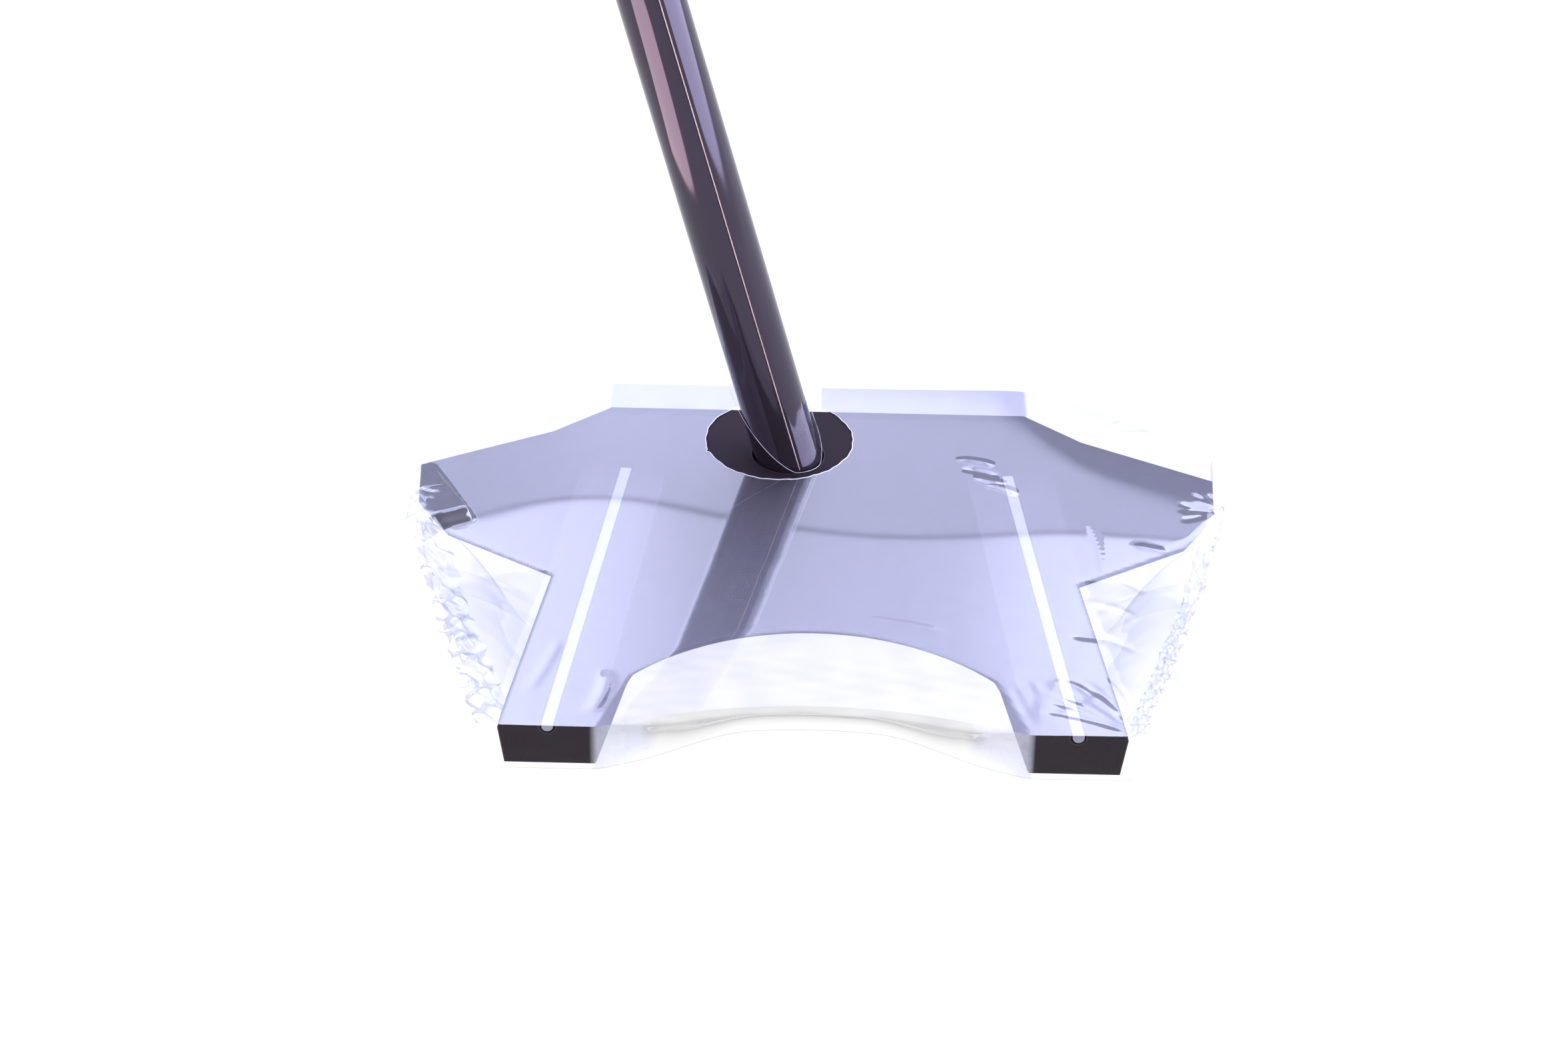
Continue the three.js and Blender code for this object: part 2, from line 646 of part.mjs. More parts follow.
// The clear sleeve follows the steps and is cut at a slant, highest on the heel side.
function shaftSleeve() {
  const whole = steppedTube(GAP, GAP + SLEEVE_WALL, -tipRadius, sleeveTop, GAP);
  const below = new THREE.BoxGeometry(FAR / 4, FAR / 4, FAR / 8);
  moved(below, 0, 0, -FAR / 16);
  below.rotateY(THREE.MathUtils.degToRad(SLEEVE_CUT_SLOPE));
  moved(below, shaftFoot.x, shaftFoot.y, CROWN_Z + SLEEVE_CUT_HEIGHT + tipRadius / 2);
  const toAxis = shaftPlace.clone().invert();
  return toGeometry(toSolid(whole).subtract(toSolid(below.applyMatrix4(toAxis))));
}

function shaftBand() {
  return steppedTube(GAP, GAP + BAND_WALL, bandBottom, bandTop, GAP);
}

function gripTape() {
  const inner = buttRadius + GAP;
  return turnedOnShaft(tube(inner, inner + GRIP_TAPE_WALL, gripMouth + 4, gripTop - 4));
}

// A pistol-shaped grip with a flat thumb side that faces the toe.
function grip() {
  const length = gripTop - gripMouth;
  const bore = buttRadius + 2 * GAP + GRIP_TAPE_WALL + GAP;
  const profile = [[bore, gripMouth], [GRIP_MOUTH_RADIUS - 0.8, gripMouth], [GRIP_MOUTH_RADIUS, gripMouth + 1.5]];
  for (let i = 1; i <= 8; i += 1) {
    const share = i / 8;
    const waist = GRIP_MOUTH_RADIUS + (GRIP_WAIST_RADIUS - GRIP_MOUTH_RADIUS) * share;
    const swell = (GRIP_BUTT_RADIUS - GRIP_WAIST_RADIUS) * share ** 3;
    profile.push([waist + swell, gripMouth + 1.5 + (length - 3) * share]);
  }
  profile.push([GRIP_BUTT_RADIUS - 1, gripTop], [bore, gripTop], [bore, gripMouth]);
  const geometry = turnedOnShaft(profile, 40);
  const spots = geometry.attributes.position;
  for (let i = 0; i < spots.count; i += 1) {
    const radius = Math.hypot(spots.getX(i), spots.getZ(i));
    const limit = Math.max(radius * GRIP_FLAT_SHARE, bore + 0.8);
    if (radius > bore + 0.01 && spots.getX(i) > limit) {
      spots.setX(i, limit);
    }
  }
  return geometry;
}

// A cap that plugs the butt of the shaft, with a vent through it.
function gripCap() {
  const bottom = clubTop - CAP_THICKNESS;
  const stem = buttRadius - SHAFT_WALL - GAP;
  const profile = [
    [CAP_VENT_RADIUS, bottom - CAP_STEM_LENGTH],
    [stem, bottom - CAP_STEM_LENGTH],
    [stem, bottom],
    [GRIP_BUTT_RADIUS - 1, bottom],
    [GRIP_BUTT_RADIUS - 0.6, clubTop - 1.5],
    [GRIP_BUTT_RADIUS - 3, clubTop],
    [CAP_VENT_RADIUS, clubTop],
    [CAP_VENT_RADIUS, bottom - CAP_STEM_LENGTH],
  ];
  return turnedOnShaft(profile);
}

// ---------------------------------------------------------------- clear wrap

// The wrap's plan: open at the face, drawn straight from wing tip to fang end, and with a
// shallow arc between the fangs. inset moves the closed sides inwards.
function wrapPlan(inset, lip) {
  const out = FILM_WALL + GAP - inset;
  const rearY = FACE_Y - HEAD_DEPTH - out;
  const toe = [
    [faceCorner.x + out + 0.3, FACE_Y + lip],
    [faceCorner.x + out + 0.3, FACE_Y + out],
    [wingTip.x + out, FACE_Y - wingTip.back],
    [wingSide.x + out, FACE_Y - wingSide.back],
    [fangOuter.x + 1.4 * out, rearY],
    [fangInner.x - 1.2 * out, rearY],
  ].reverse();
  const arc = [];
  for (let i = 1; i < 12; i += 1) {
    const share = 2 * i / 12 - 1;
    arc.push([share * (fangInner.x - 1.2 * out), rearY + FILM_REAR_RISE * (1 - share * share)]);
  }
  const heel = toe.map(([x, y]) => [-x, y]).reverse();
  return [...heel, ...arc, ...toe];
}

// The wrap's side view: flat under the sole, then rising under the fangs.
function wrapSide(inset, lip) {
  const rearY = FACE_Y - HEAD_DEPTH - 2;
  const low = inset;
  const top = CROWN_Z + GAP + FILM_WALL - inset;
  const drop = (GAP + FILM_WALL - inset) * 1.1;
  return [
    [FACE_Y + lip, low],
    [FACE_Y + lip, top],
    [rearY, top],
    [rearY, ribUnderside(HEAD_DEPTH + 2) - drop],
    [FACE_Y - RIB_START_BACK, low],
  ];
}

function wrapBlock(inset, lip) {
  let block = toSolid(planPrism(wrapPlan(inset, lip), -1, CROWN_Z + TALL));
  block = block.intersect(toSolid(sidePrism(wrapSide(inset, lip), 2 * HALF)));
  const lift = (GAP + FILM_WALL - inset) * 1.35;
  [1, -1].forEach((side) => {
    block = block.subtract(shoulderCuts(side, lift, lip + 5));
  });
  return block;
}

function headWrap() {
  const shell = wrapBlock(0, FILM_LIP).subtract(wrapBlock(FILM_WALL, FILM_LIP + 2));
  const holeX = SHAFT_FOOT_X - FILM_HOLE_HEELWARD;
  const holeY = shaftFoot.y + FILM_HOLE_FORWARD;
  const radius = tipRadius + FILM_HOLE_REACH;
  const hole = turned([[0, CROWN_Z], [radius, CROWN_Z], [radius, CROWN_Z + 4], [0, CROWN_Z + 4]], 48);
  const slit = [
    [SHAFT_FOOT_X + tipRadius - FILM_SLIT_WIDTH, holeY],
    [SHAFT_FOOT_X + tipRadius, holeY],
    [SHAFT_FOOT_X + tipRadius, FACE_Y + FILM_LIP + 5],
    [SHAFT_FOOT_X + tipRadius - FILM_SLIT_WIDTH, FACE_Y + FILM_LIP + 5],
  ];
  const cut = shell
    .subtract(toSolid(moved(hole, holeX, holeY, 0)))
    .subtract(toSolid(planPrism(slit, CROWN_Z, CROWN_Z + 4)));
  return toGeometry(cut);
}

// ---------------------------------------------------------------- assembly

const putter = new THREE.Group();
const onShaft = new THREE.Group();
onShaft.position.copy(shaftFoot);
onShaft.quaternion.copy(shaftTurn);
putter.add(onShaft);

function finish(color, roughness, metalness) {
  return { color, roughness, metalness };
}

const BLACK_METAL = finish(0x2b2730, 0.3, 0.9);
const DARK_CHROME = finish(0x544c5d, 0.08, 1.0);
const STEEL = finish(0xb9b9bf, 0.3, 1.0);
const RUBBER = finish(0x1c1c1e, 0.85, 0.0);
const PAINT = finish(0xf4f4f8, 0.5, 0.0);
const CLEAR = finish(0xdfe0f5, 0.1, 0.0);

function addPiece(parent, name, geometry, look) {
  const mesh = new THREE.Mesh(geometry, new THREE.MeshStandardMaterial(look));
  mesh.name = name;
  parent.add(mesh);
}

addPiece(putter, 'head_body', headBody(), BLACK_METAL);
addPiece(putter, 'face_insert', faceInsert(), finish(0x3a3a40, 0.4, 0.8));
addPiece(putter, 'insert_pad', insertPad(), finish(0x101010, 0.9, 0));
addPiece(putter, 'sole_plate', solePlate(), STEEL);
forScrews((x, y, number) => addPiece(putter, `sole_screw_${number}`, soleScrew(x, y), STEEL));
[[1, 'toe'], [-1, 'heel']].forEach(([side, end]) => {
  addPiece(putter, `sight_line_${end}`, sightLine(side), PAINT);
  addPiece(putter, `sole_weight_${end}`, soleWeight(side), STEEL);
  addPiece(putter, `weight_ring_${end}`, weightRing(side), RUBBER);
});
addPiece(putter, 'head_wrap', headWrap(), CLEAR);
addPiece(onShaft, 'shaft', shaft(), DARK_CHROME);
addPiece(onShaft, 'shaft_tip_plug', tipPlug(), RUBBER);
addPiece(onShaft, 'shaft_bond', shaftBond(), finish(0xc9b98a, 0.4, 0));
addPiece(onShaft, 'shaft_sleeve', shaftSleeve(), CLEAR);
addPiece(onShaft, 'shaft_band', shaftBand(), finish(0x8a8a90, 0.4, 0.6));
addPiece(onShaft, 'grip_tape', gripTape(), finish(0xd8cfa8, 0.8, 0));
addPiece(onShaft, 'grip', grip(), RUBBER);
addPiece(onShaft, 'grip_cap', gripCap(), RUBBER);

export default putter;
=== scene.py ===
# %% [markdown]
# # A mallet putter in its clear wrap
# The club was worked out first as solid pieces, so every place below is read from that frame.
# This lesson gives it its looks: a satin black head, white sight lines, a dark chrome shaft,
# a ribbed rubber grip, and two kinds of clear film that only show by what they reflect.

# %% Load the frame
import math

import bpy
import numpy as np
from mathutils import Matrix, Vector


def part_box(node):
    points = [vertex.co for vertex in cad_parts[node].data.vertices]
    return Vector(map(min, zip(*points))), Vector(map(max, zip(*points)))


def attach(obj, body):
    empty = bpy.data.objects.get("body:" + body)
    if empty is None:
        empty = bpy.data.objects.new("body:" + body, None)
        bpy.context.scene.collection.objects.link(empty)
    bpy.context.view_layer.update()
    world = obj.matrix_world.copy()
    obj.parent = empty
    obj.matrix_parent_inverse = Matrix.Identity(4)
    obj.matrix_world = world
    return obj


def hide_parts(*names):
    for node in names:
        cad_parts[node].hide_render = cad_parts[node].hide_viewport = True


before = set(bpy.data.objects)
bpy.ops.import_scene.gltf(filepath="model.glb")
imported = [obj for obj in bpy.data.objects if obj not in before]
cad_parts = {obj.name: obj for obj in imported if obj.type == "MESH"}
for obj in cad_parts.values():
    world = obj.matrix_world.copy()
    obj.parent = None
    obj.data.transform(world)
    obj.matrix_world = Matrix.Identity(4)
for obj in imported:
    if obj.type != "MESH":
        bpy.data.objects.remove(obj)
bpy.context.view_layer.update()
MM = 0.001

# %% [markdown]
# ## The camera
# A club head is looked at from behind and above, as a golfer looks at it, with a long lens so
# that its edges stay nearly parallel. The camera stands behind the head, tips down, and leans
# a degree to one side. The place is given from the middle of the crown's rear half.

# %% Camera
LENS = 85.68
SENSOR = 36.0
TIP_DOWN = math.radians(33.749)
TURN = math.radians(0.268)
LEAN = math.radians(1.114)
head_low, head_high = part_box("head_body")
crown_z = head_high.z
crown_rear = Vector((0.0, head_low.y, crown_z))
CAMERA_FROM_REAR = Vector((-2.458, -387.53, 291.14)) * MM

camera_data = bpy.data.cameras.new("camera")
camera_data.lens = LENS
camera_data.sensor_width = SENSOR
camera_data.clip_start = 0.01
camera_data.clip_end = 50.0
camera = bpy.data.objects.new("camera", camera_data)
bpy.context.scene.collection.objects.link(camera)
aim = Matrix.Rotation(TURN, 4, "Z") @ Matrix.Rotation(math.pi / 2 - TIP_DOWN, 4, "X")
camera.matrix_world = (
    Matrix.Translation(crown_rear + CAMERA_FROM_REAR) @ aim @ Matrix.Rotation(LEAN, 4, "Z")
)
bpy.context.scene.camera = camera
bpy.context.scene.view_settings.view_transform = "Standard"
print("camera at", [round(v, 4) for v in camera.matrix_world.translation])

# %% [markdown]
# ## Two helpers for every piece
# A shape here is a function of two parameters worked out on a grid of points. One helper turns
# such a grid into a mesh, and another builds a material's nodes in few words.

# %% Grid and node helpers
def grid_faces(rows, columns, wrap):
    """Quads between the points of a grid: each joins a point to the next one along and the
    next one across. With wrap, the last column is joined to the first."""
    across = columns if wrap else columns - 1
    r, c = np.meshgrid(np.arange(rows - 1), np.arange(across), indexing="ij")
    right = (c + 1) % columns
    corners = (r * columns + c, r * columns + right, (r + 1) * columns + right, (r + 1) * columns + c)
    return np.stack([corner.ravel() for corner in corners], axis=1)


def surface(name, points, material, slot, wrap=False, caps=False, skip=None, flip=False):
    """A smooth mesh from a (rows, columns, 3) grid in millimetres. caps closes the first and
    last rows with a fan about their middle point. skip marks quads that are left out."""
    rows, columns = points.shape[:2]
    places = points.reshape(-1, 3) * MM
    quads = grid_faces(rows, columns, wrap)
    if skip is not None:
        quads = quads[~skip.ravel()]
    if flip:
        quads = quads[:, ::-1]
    faces = [quads]
    if caps:
        middles = np.stack([points[0].mean(0), points[-1].mean(0)]) * MM
        first = np.arange(columns)
        turn = np.roll(first, -1)
        low = np.stack([turn, first, np.full(columns, len(places))], axis=1)
        last = (rows - 1) * columns
        high = np.stack([first + last, turn + last, np.full(columns, len(places) + 1)], axis=1)
        places = np.vstack([places, middles])
        faces += [low[:, ::-1], high[:, ::-1]] if flip else [low, high]
    mesh = bpy.data.meshes.new(name)
    mesh.from_pydata(places.tolist(), [], [face for block in faces for face in block.tolist()])
    mesh.polygons.foreach_set("use_smooth", np.ones(len(mesh.polygons), bool))
    mesh.update()
    made = bpy.data.objects.new(name, mesh)
    bpy.context.scene.collection.objects.link(made)
    mesh.materials.append(material)
    if slot:
        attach(made, "root")
    print(name, "triangles", sum(len(p.vertices) - 2 for p in mesh.polygons))
    return made


def attribute(made, name, values):
    """One number at every vertex, for the material to read."""
    layer = made.data.attributes.new(name, "FLOAT", "POINT")
    layer.data.foreach_set("value", np.asarray(values, np.float32).ravel())


def new_material(name):
    """An empty node material, with its tree and its output."""
    material = bpy.data.materials.new(name)
    material.use_nodes = True
    tree = material.node_tree
    tree.nodes.clear()
    return material, tree, tree.nodes.new("ShaderNodeOutputMaterial")


def node(tree, kind, settings=None, **inputs):
    """A node with its settings and its inputs. An input is a number, a colour or a socket."""
    made = tree.nodes.new("ShaderNode" + kind)
    for key, value in (settings or {}).items():
        setattr(made, key, value)
    for key, value in inputs.items():
        socket = made.inputs[int(key[1:])] if key[1:].isdigit() else made.inputs[key.replace("_", " ")]
        if isinstance(value, bpy.types.NodeSocket):
            tree.links.new(value, socket)
        else:
            socket.default_value = value
    return made


def remapped(tree, value, low, high, to_low, to_high):
    """value between low and high, carried to between to_low and to_high."""
    return node(
        tree, "MapRange", None, Value=value, From_Min=low, From_Max=high, To_Min=to_low, To_Max=to_high
    ).outputs["Result"]


def blend_colours(tree, share, first, second):
    """first where share is 0 and second where it is 1."""
    return node(tree, "Mix", {"data_type": "RGBA"}, i0=share, i6=first, i7=second).outputs[2]


print("helpers ready")

# %% [markdown]
# ## Floor, room and light screens
# Clear film and chrome have no colour of their own. What they show is the room, so the room is
# the first material. The floor glows a little, as a lit table does. Behind the club stands a
# curved screen of soft light in two tiers with a thin gap between them, which the film on the
# crown mirrors. A low screen on the toe side and a dim tall one on the heel side light the
# shaft, and a small warm card gives it a narrow streak. The screens light the club but aren't
# themselves looked at.

# %% Floor and room
FLOOR_HALF = 12000.0
WHITE_ROOM = 1.06
DIM_ROOM = 0.30


def plain_floor():
    """A square of floor, flat at height 0."""
    side = np.linspace(-FLOOR_HALF, FLOOR_HALF, 3)
    x, y = np.meshgrid(side, side)
    return np.stack([x, y, np.zeros_like(x)], axis=2)


floor_paint, tree, out = new_material("lit_table")
grain = node(tree, "TexNoise", None, Scale=40.0, Detail=3.0)
shade = node(
    tree,
    "BsdfPrincipled",
    None,
    Base_Color=blend_colours(tree, grain.outputs["Fac"], (0.10, 0.10, 0.10, 1), (0.13, 0.13, 0.13, 1)),
    Roughness=0.8,
    Specular_IOR_Level=0.0,
    Emission_Color=(1.0, 1.0, 1.0, 1),
    Emission_Strength=1.02,
)
tree.links.new(shade.outputs[0], out.inputs["Surface"])
floor = surface("floor", plain_floor(), floor_paint, None)

world = bpy.data.worlds.new("room")
bpy.context.scene.world = world
world.use_nodes = True
tree = world.node_tree
tree.nodes.clear()
looked_at = node(tree, "LightPath").outputs["Is Camera Ray"]
strength = remapped(tree, looked_at, 0.0, 1.0, DIM_ROOM, WHITE_ROOM)
room = node(tree, "Background", None, Color=(1.0, 1.0, 1.0, 1), Strength=strength)
tree.links.new(room.outputs[0], node(tree, "OutputWorld").inputs["Surface"])
print("floor and room ready")

# %% Light screens
SCREEN_RADIUS = 1700.0
GAP_ELEVATION = 33.68
GAP_HALF = 0.05
SCREEN_MIDDLE_Y = -18.0
LAVENDER = np.array([0.80, 0.835, 1.17])


def smooth_step(value, low, high):
    """0 below low, 1 above high, and an S-curve between them."""
    share = np.clip((value - low) / (high - low), 0, 1)
    return share * share * (3 - 2 * share)


def screen_points(azimuths, elevations, radius):
    """Points of a sphere about the middle of the crown, at compass angle azimuth from +Y and
    at angle elevation above level."""
    a, e = np.meshgrid(np.radians(azimuths), np.radians(elevations))
    x = radius * np.sin(a) * np.cos(e)
    y = radius * np.cos(a) * np.cos(e) + SCREEN_MIDDLE_Y
    return np.stack([x, y, radius * np.sin(e) + crown_z / MM], axis=2)


LOWER_TIER_AZIMUTH = [-30.0, -15.0, -8.0, -6.4, -4.6, -2.6, 2.2, 12.0, 30.0]
LOWER_TIER_GLOW = [4.2, 2.4, 1.9, 2.1, 2.45, 2.3, 2.05, 1.95, 4.2]
UPPER_TIER_SIDE = [0.0, 2.0, 3.0, 4.0, 5.1, 6.3, 7.0, 16.0, 30.0]
UPPER_TIER_GLOW = [2.45, 2.5, 2.7, 3.25, 3.75, 4.0, 4.2, 5.4, 5.4]
TOE_END_TILT = 4.6
TOE_END_FROM = 31.8
TOE_END_DIP = 0.78
GAP_DIP = 0.75
LOW_GLOW = 0.55


def screen_glow(azimuth, elevation):
    """Brightness of the rear screen. Two tiers meet at the gap. The lower one is brightest on
    the heel side and has a slanted soft end on the toe side. The upper one gains strength
    sideways."""
    side = np.abs(azimuth)
    lower = np.interp(azimuth, LOWER_TIER_AZIMUTH, LOWER_TIER_GLOW)
    slanted = azimuth - TOE_END_TILT * (elevation - TOE_END_FROM)
    toe_end = smooth_step(slanted, 2.2, 7.4) * (1 - smooth_step(azimuth, 12, 20))
    lower = lower * (1 - TOE_END_DIP * toe_end)
    upper = np.interp(side, UPPER_TIER_SIDE, UPPER_TIER_GLOW)
    glow = np.where(elevation < GAP_ELEVATION, lower, upper)
    gap = np.abs(elevation - GAP_ELEVATION) / GAP_HALF
    glow = glow * (1 - GAP_DIP * np.exp(-(gap**2)))
    fade = smooth_step(elevation, 21, 31.5)
    return LOW_GLOW + (glow - LOW_GLOW) * fade


def glow_material(name):
    """Light of the colour that each vertex holds."""
    material, tree, out = new_material(name)
    colour = node(tree, "Attribute", {"attribute_name": "glow"}).outputs["Color"]
    light = node(tree, "Emission", None, Color=colour, Strength=1.0)
    tree.links.new(light.outputs[0], out.inputs["Surface"])
    return material


def light_screen(name, points, colours):
    """A screen of light that is seen only in reflections."""
    made = surface(name, points, glow_material(name), None)
    layer = made.data.attributes.new("glow", "FLOAT_COLOR", "POINT")
    values = np.concatenate([colours.reshape(-1, 3), np.ones((colours.size // 3, 1))], axis=1)
    layer.data.foreach_set("color", values.astype(np.float32).ravel())
    made.visible_camera = False
    return made


screen_azimuths = np.linspace(-80, 80, 161)
screen_elevations = np.unique(np.concatenate([
    np.linspace(0, 33, 67), np.linspace(33, 34.4, 141), np.linspace(34.4, 75, 82)
]))
az, el = np.meshgrid(screen_azimuths, screen_elevations)
glow = screen_glow(az, el)[..., None] * LAVENDER
light_screen("rear_screen", screen_points(screen_azimuths, screen_elevations, SCREEN_RADIUS), glow)

TOE_SIDE_RADIUS = 800.0
TOE_SIDE_GLOW = np.array([6.3, 6.6, 8.0])
HEEL_SIDE_GLOW = np.array([1.5, 1.4, 1.7])
WARM_GLOW = np.array([8.8, 7.1, 6.8])
toe_points = screen_points(np.linspace(60, 132, 42), np.linspace(0.2, 35, 20), TOE_SIDE_RADIUS)
light_screen("toe_side_screen", toe_points, np.ones(toe_points.shape) * TOE_SIDE_GLOW)
heel_points = screen_points(np.linspace(-160, -82, 40), np.linspace(4, 80, 24), SCREEN_RADIUS)
light_screen("heel_side_screen", heel_points, np.ones(heel_points.shape) * HEEL_SIDE_GLOW)

CARD_CORNERS = np.array([
    [[-122.0, -21.0, 1.0], [-95.0, -125.0, 1.0], [-84.0, -342.0, 1.0]],
    [[-260.0, -224.0, 1.0], [-260.0, -280.0, 1.0], [-260.0, -342.0, 1.0]],
])
light_screen("warm_card", CARD_CORNERS, np.ones(CARD_CORNERS.shape) * WARM_GLOW)

# %% [markdown]
# ## Finishes for the solid pieces
# The head is bead-blasted and coated satin black, so it is dark with hardly any shine: a fine
# noise moves its colour and roughness, and a finer one gives it grain. The paint in the sight
# lines is soft white. Steel pieces are turned, so their grain runs in circles.

# %% Finishes
def textured(name, dark, light, rough, scale, grain_scale, grain, metallic=0.0, specular=0.5, edge=None):
    """A finish whose colour runs between dark and light by a cloudy noise, whose roughness runs between
    two values by the same noise, and whose surface has a fine grain. With edge, sharp edges are lightened
    towards that colour: a painted highlight."""
    material, tree, out = new_material(name)
    place = node(tree, "TexCoord").outputs["Object"]
    clouds = node(tree, "TexNoise", None, Vector=place, Scale=scale, Detail=5.0).outputs["Fac"]
    specks = node(tree, "TexNoise", None, Vector=place, Scale=grain_scale, Detail=2.0).outputs["Fac"]
    bump = node(tree, "Bump", None, Height=specks, Strength=grain, Distance=0.0002)
    colour = blend_colours(tree, remapped(tree, clouds, 0.3, 0.7, 0.0, 1.0), (*dark, 1), (*light, 1))
    # Sharp edges are lightened towards edge: a painted highlight where the edges would catch the light.
    if edge:
        scuff_and_edge_sheen = node(tree, "Bevel", {"samples": 4}, Radius=0.0004).outputs["Normal"]
        flat = node(tree, "NewGeometry").outputs["Normal"]
        same = node(tree, "VectorMath", {"operation": "DOT_PRODUCT"}, i0=scuff_and_edge_sheen, i1=flat).outputs["Value"]
        share = remapped(tree, same, 0.995, 0.86, 0.0, 1.0)
        colour = blend_colours(tree, share, colour, (*edge, 1))
    shade = node(
        tree,
        "BsdfPrincipled",
        None,
        Base_Color=colour,
        Roughness=remapped(tree, clouds, 0.3, 0.7, *rough),
        Metallic=metallic,
        Specular_IOR_Level=specular,
        Normal=bump.outputs["Normal"],
    )
    tree.links.new(shade.outputs[0], out.inputs["Surface"])
    return material


def turned_metal(name, dark, light, centre):
    """Steel turned about a vertical line through centre: rings of fine grooves."""
    material, tree, out = new_material(name)
    place = node(tree, "TexCoord").outputs["Object"]
    centred = node(tree, "Mapping", None, Vector=place, Location=(-centre[0], -centre[1], 0.0))
    rings = node(
        tree,
        "TexWave",
        {"wave_type": "RINGS", "rings_direction": "Z"},
        Vector=centred.outputs[0],
        Scale=900.0,
        Distortion=0.6,
        Detail=2.0,
    ).outputs["Fac"]
    bump = node(tree, "Bump", None, Height=rings, Strength=0.25, Distance=0.0001)
    shade = node(
        tree,
        "BsdfPrincipled",
        None,
        Base_Color=blend_colours(tree, rings, (*dark, 1), (*light, 1)),
        Roughness=remapped(tree, rings, 0.0, 1.0, 0.24, 0.36),
        Metallic=1.0,
        Normal=bump.outputs["Normal"],
    )
    tree.links.new(shade.outputs[0], out.inputs["Surface"])
    return material


# The head's edge colour is a painted highlight along its sharp edges.
black_satin = textured(
    "black_satin", (0.016, 0.011, 0.015), (0.021, 0.0145, 0.019), (0.5, 0.62), 60.0, 9000.0, 0.25,
    specular=0.06, edge=(0.05, 0.045, 0.06),
)
sight_paint = textured(
    "sight_paint", (0.20, 0.205, 0.26), (0.25, 0.255, 0.31), (0.35, 0.5), 300.0, 4000.0, 0.2
)
insert_metal = textured(
    "insert_metal", (0.16, 0.16, 0.18), (0.22, 0.22, 0.25), (0.3, 0.42), 200.0, 6000.0, 0.6, metallic=0.9
)
foam = textured("foam_pad", (0.02, 0.02, 0.02), (0.05, 0.05, 0.05), (0.85, 0.95), 900.0, 3000.0, 1.0)
rubber = textured("rubber", (0.012, 0.012, 0.014), (0.03, 0.03, 0.033), (0.6, 0.8), 150.0, 5000.0, 0.5)
resin = textured("set_resin", (0.5, 0.42, 0.2), (0.62, 0.54, 0.3), (0.2, 0.4), 400.0, 2500.0, 0.4)
tape = textured("grip_tape", (0.55, 0.5, 0.36), (0.68, 0.63, 0.48), (0.8, 0.95), 220.0, 4000.0, 0.8)
band_film = textured(
    "band_film", (0.20, 0.20, 0.22), (0.27, 0.27, 0.29), (0.2, 0.32), 80.0, 3000.0, 0.1, metallic=0.6
)
plate_steel = textured(
    "plate_steel", (0.36, 0.36, 0.38), (0.46, 0.46, 0.48), (0.3, 0.42), 500.0, 5000.0, 0.3, metallic=1.0
)


def dress(names, material):
    """Gives carried-over pieces their finish."""
    for name in names:
        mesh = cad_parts[name].data
        mesh.materials.clear()
        mesh.materials.append(material)


dress(["head_body"], black_satin)
dress(["sight_line_toe", "sight_line_heel"], sight_paint)
dress(["face_insert"], insert_metal)
dress(["insert_pad"], foam)
dress(["weight_ring_toe", "weight_ring_heel", "shaft_tip_plug", "grip_cap"], rubber)
dress(["shaft_bond"], resin)
dress(["grip_tape"], tape)
dress(["shaft_band"], band_film)
dress(["sole_plate"], plate_steel)
for name in [f"sole_screw_{number}" for number in range(1, 5)] + ["sole_weight_toe", "sole_weight_heel"]:
    low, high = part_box(name)
    dress([name], turned_metal(f"turned_{name}", (0.38, 0.38, 0.4), (0.55, 0.55, 0.57), (low + high) / 2))
print("finishes", len(bpy.data.materials))

# %% [markdown]
# ## Clear film
# Thin film is mostly a window. At a glancing angle it turns into a mirror, so its shader is glass-clear in
# front of a sharp reflection, shared out by the angle, with a little broad shine for its fine scuffs.
# Three numbers at each vertex say how much the film tints and darkens what is seen through it, how scuffed
# it is, and how well it mirrors. On the wrap's free lip, over its open gaps and on the front of its lower
# sheet, that tint is painted shade. Small streaks, the seams and the sleeve carry the film's own tint.

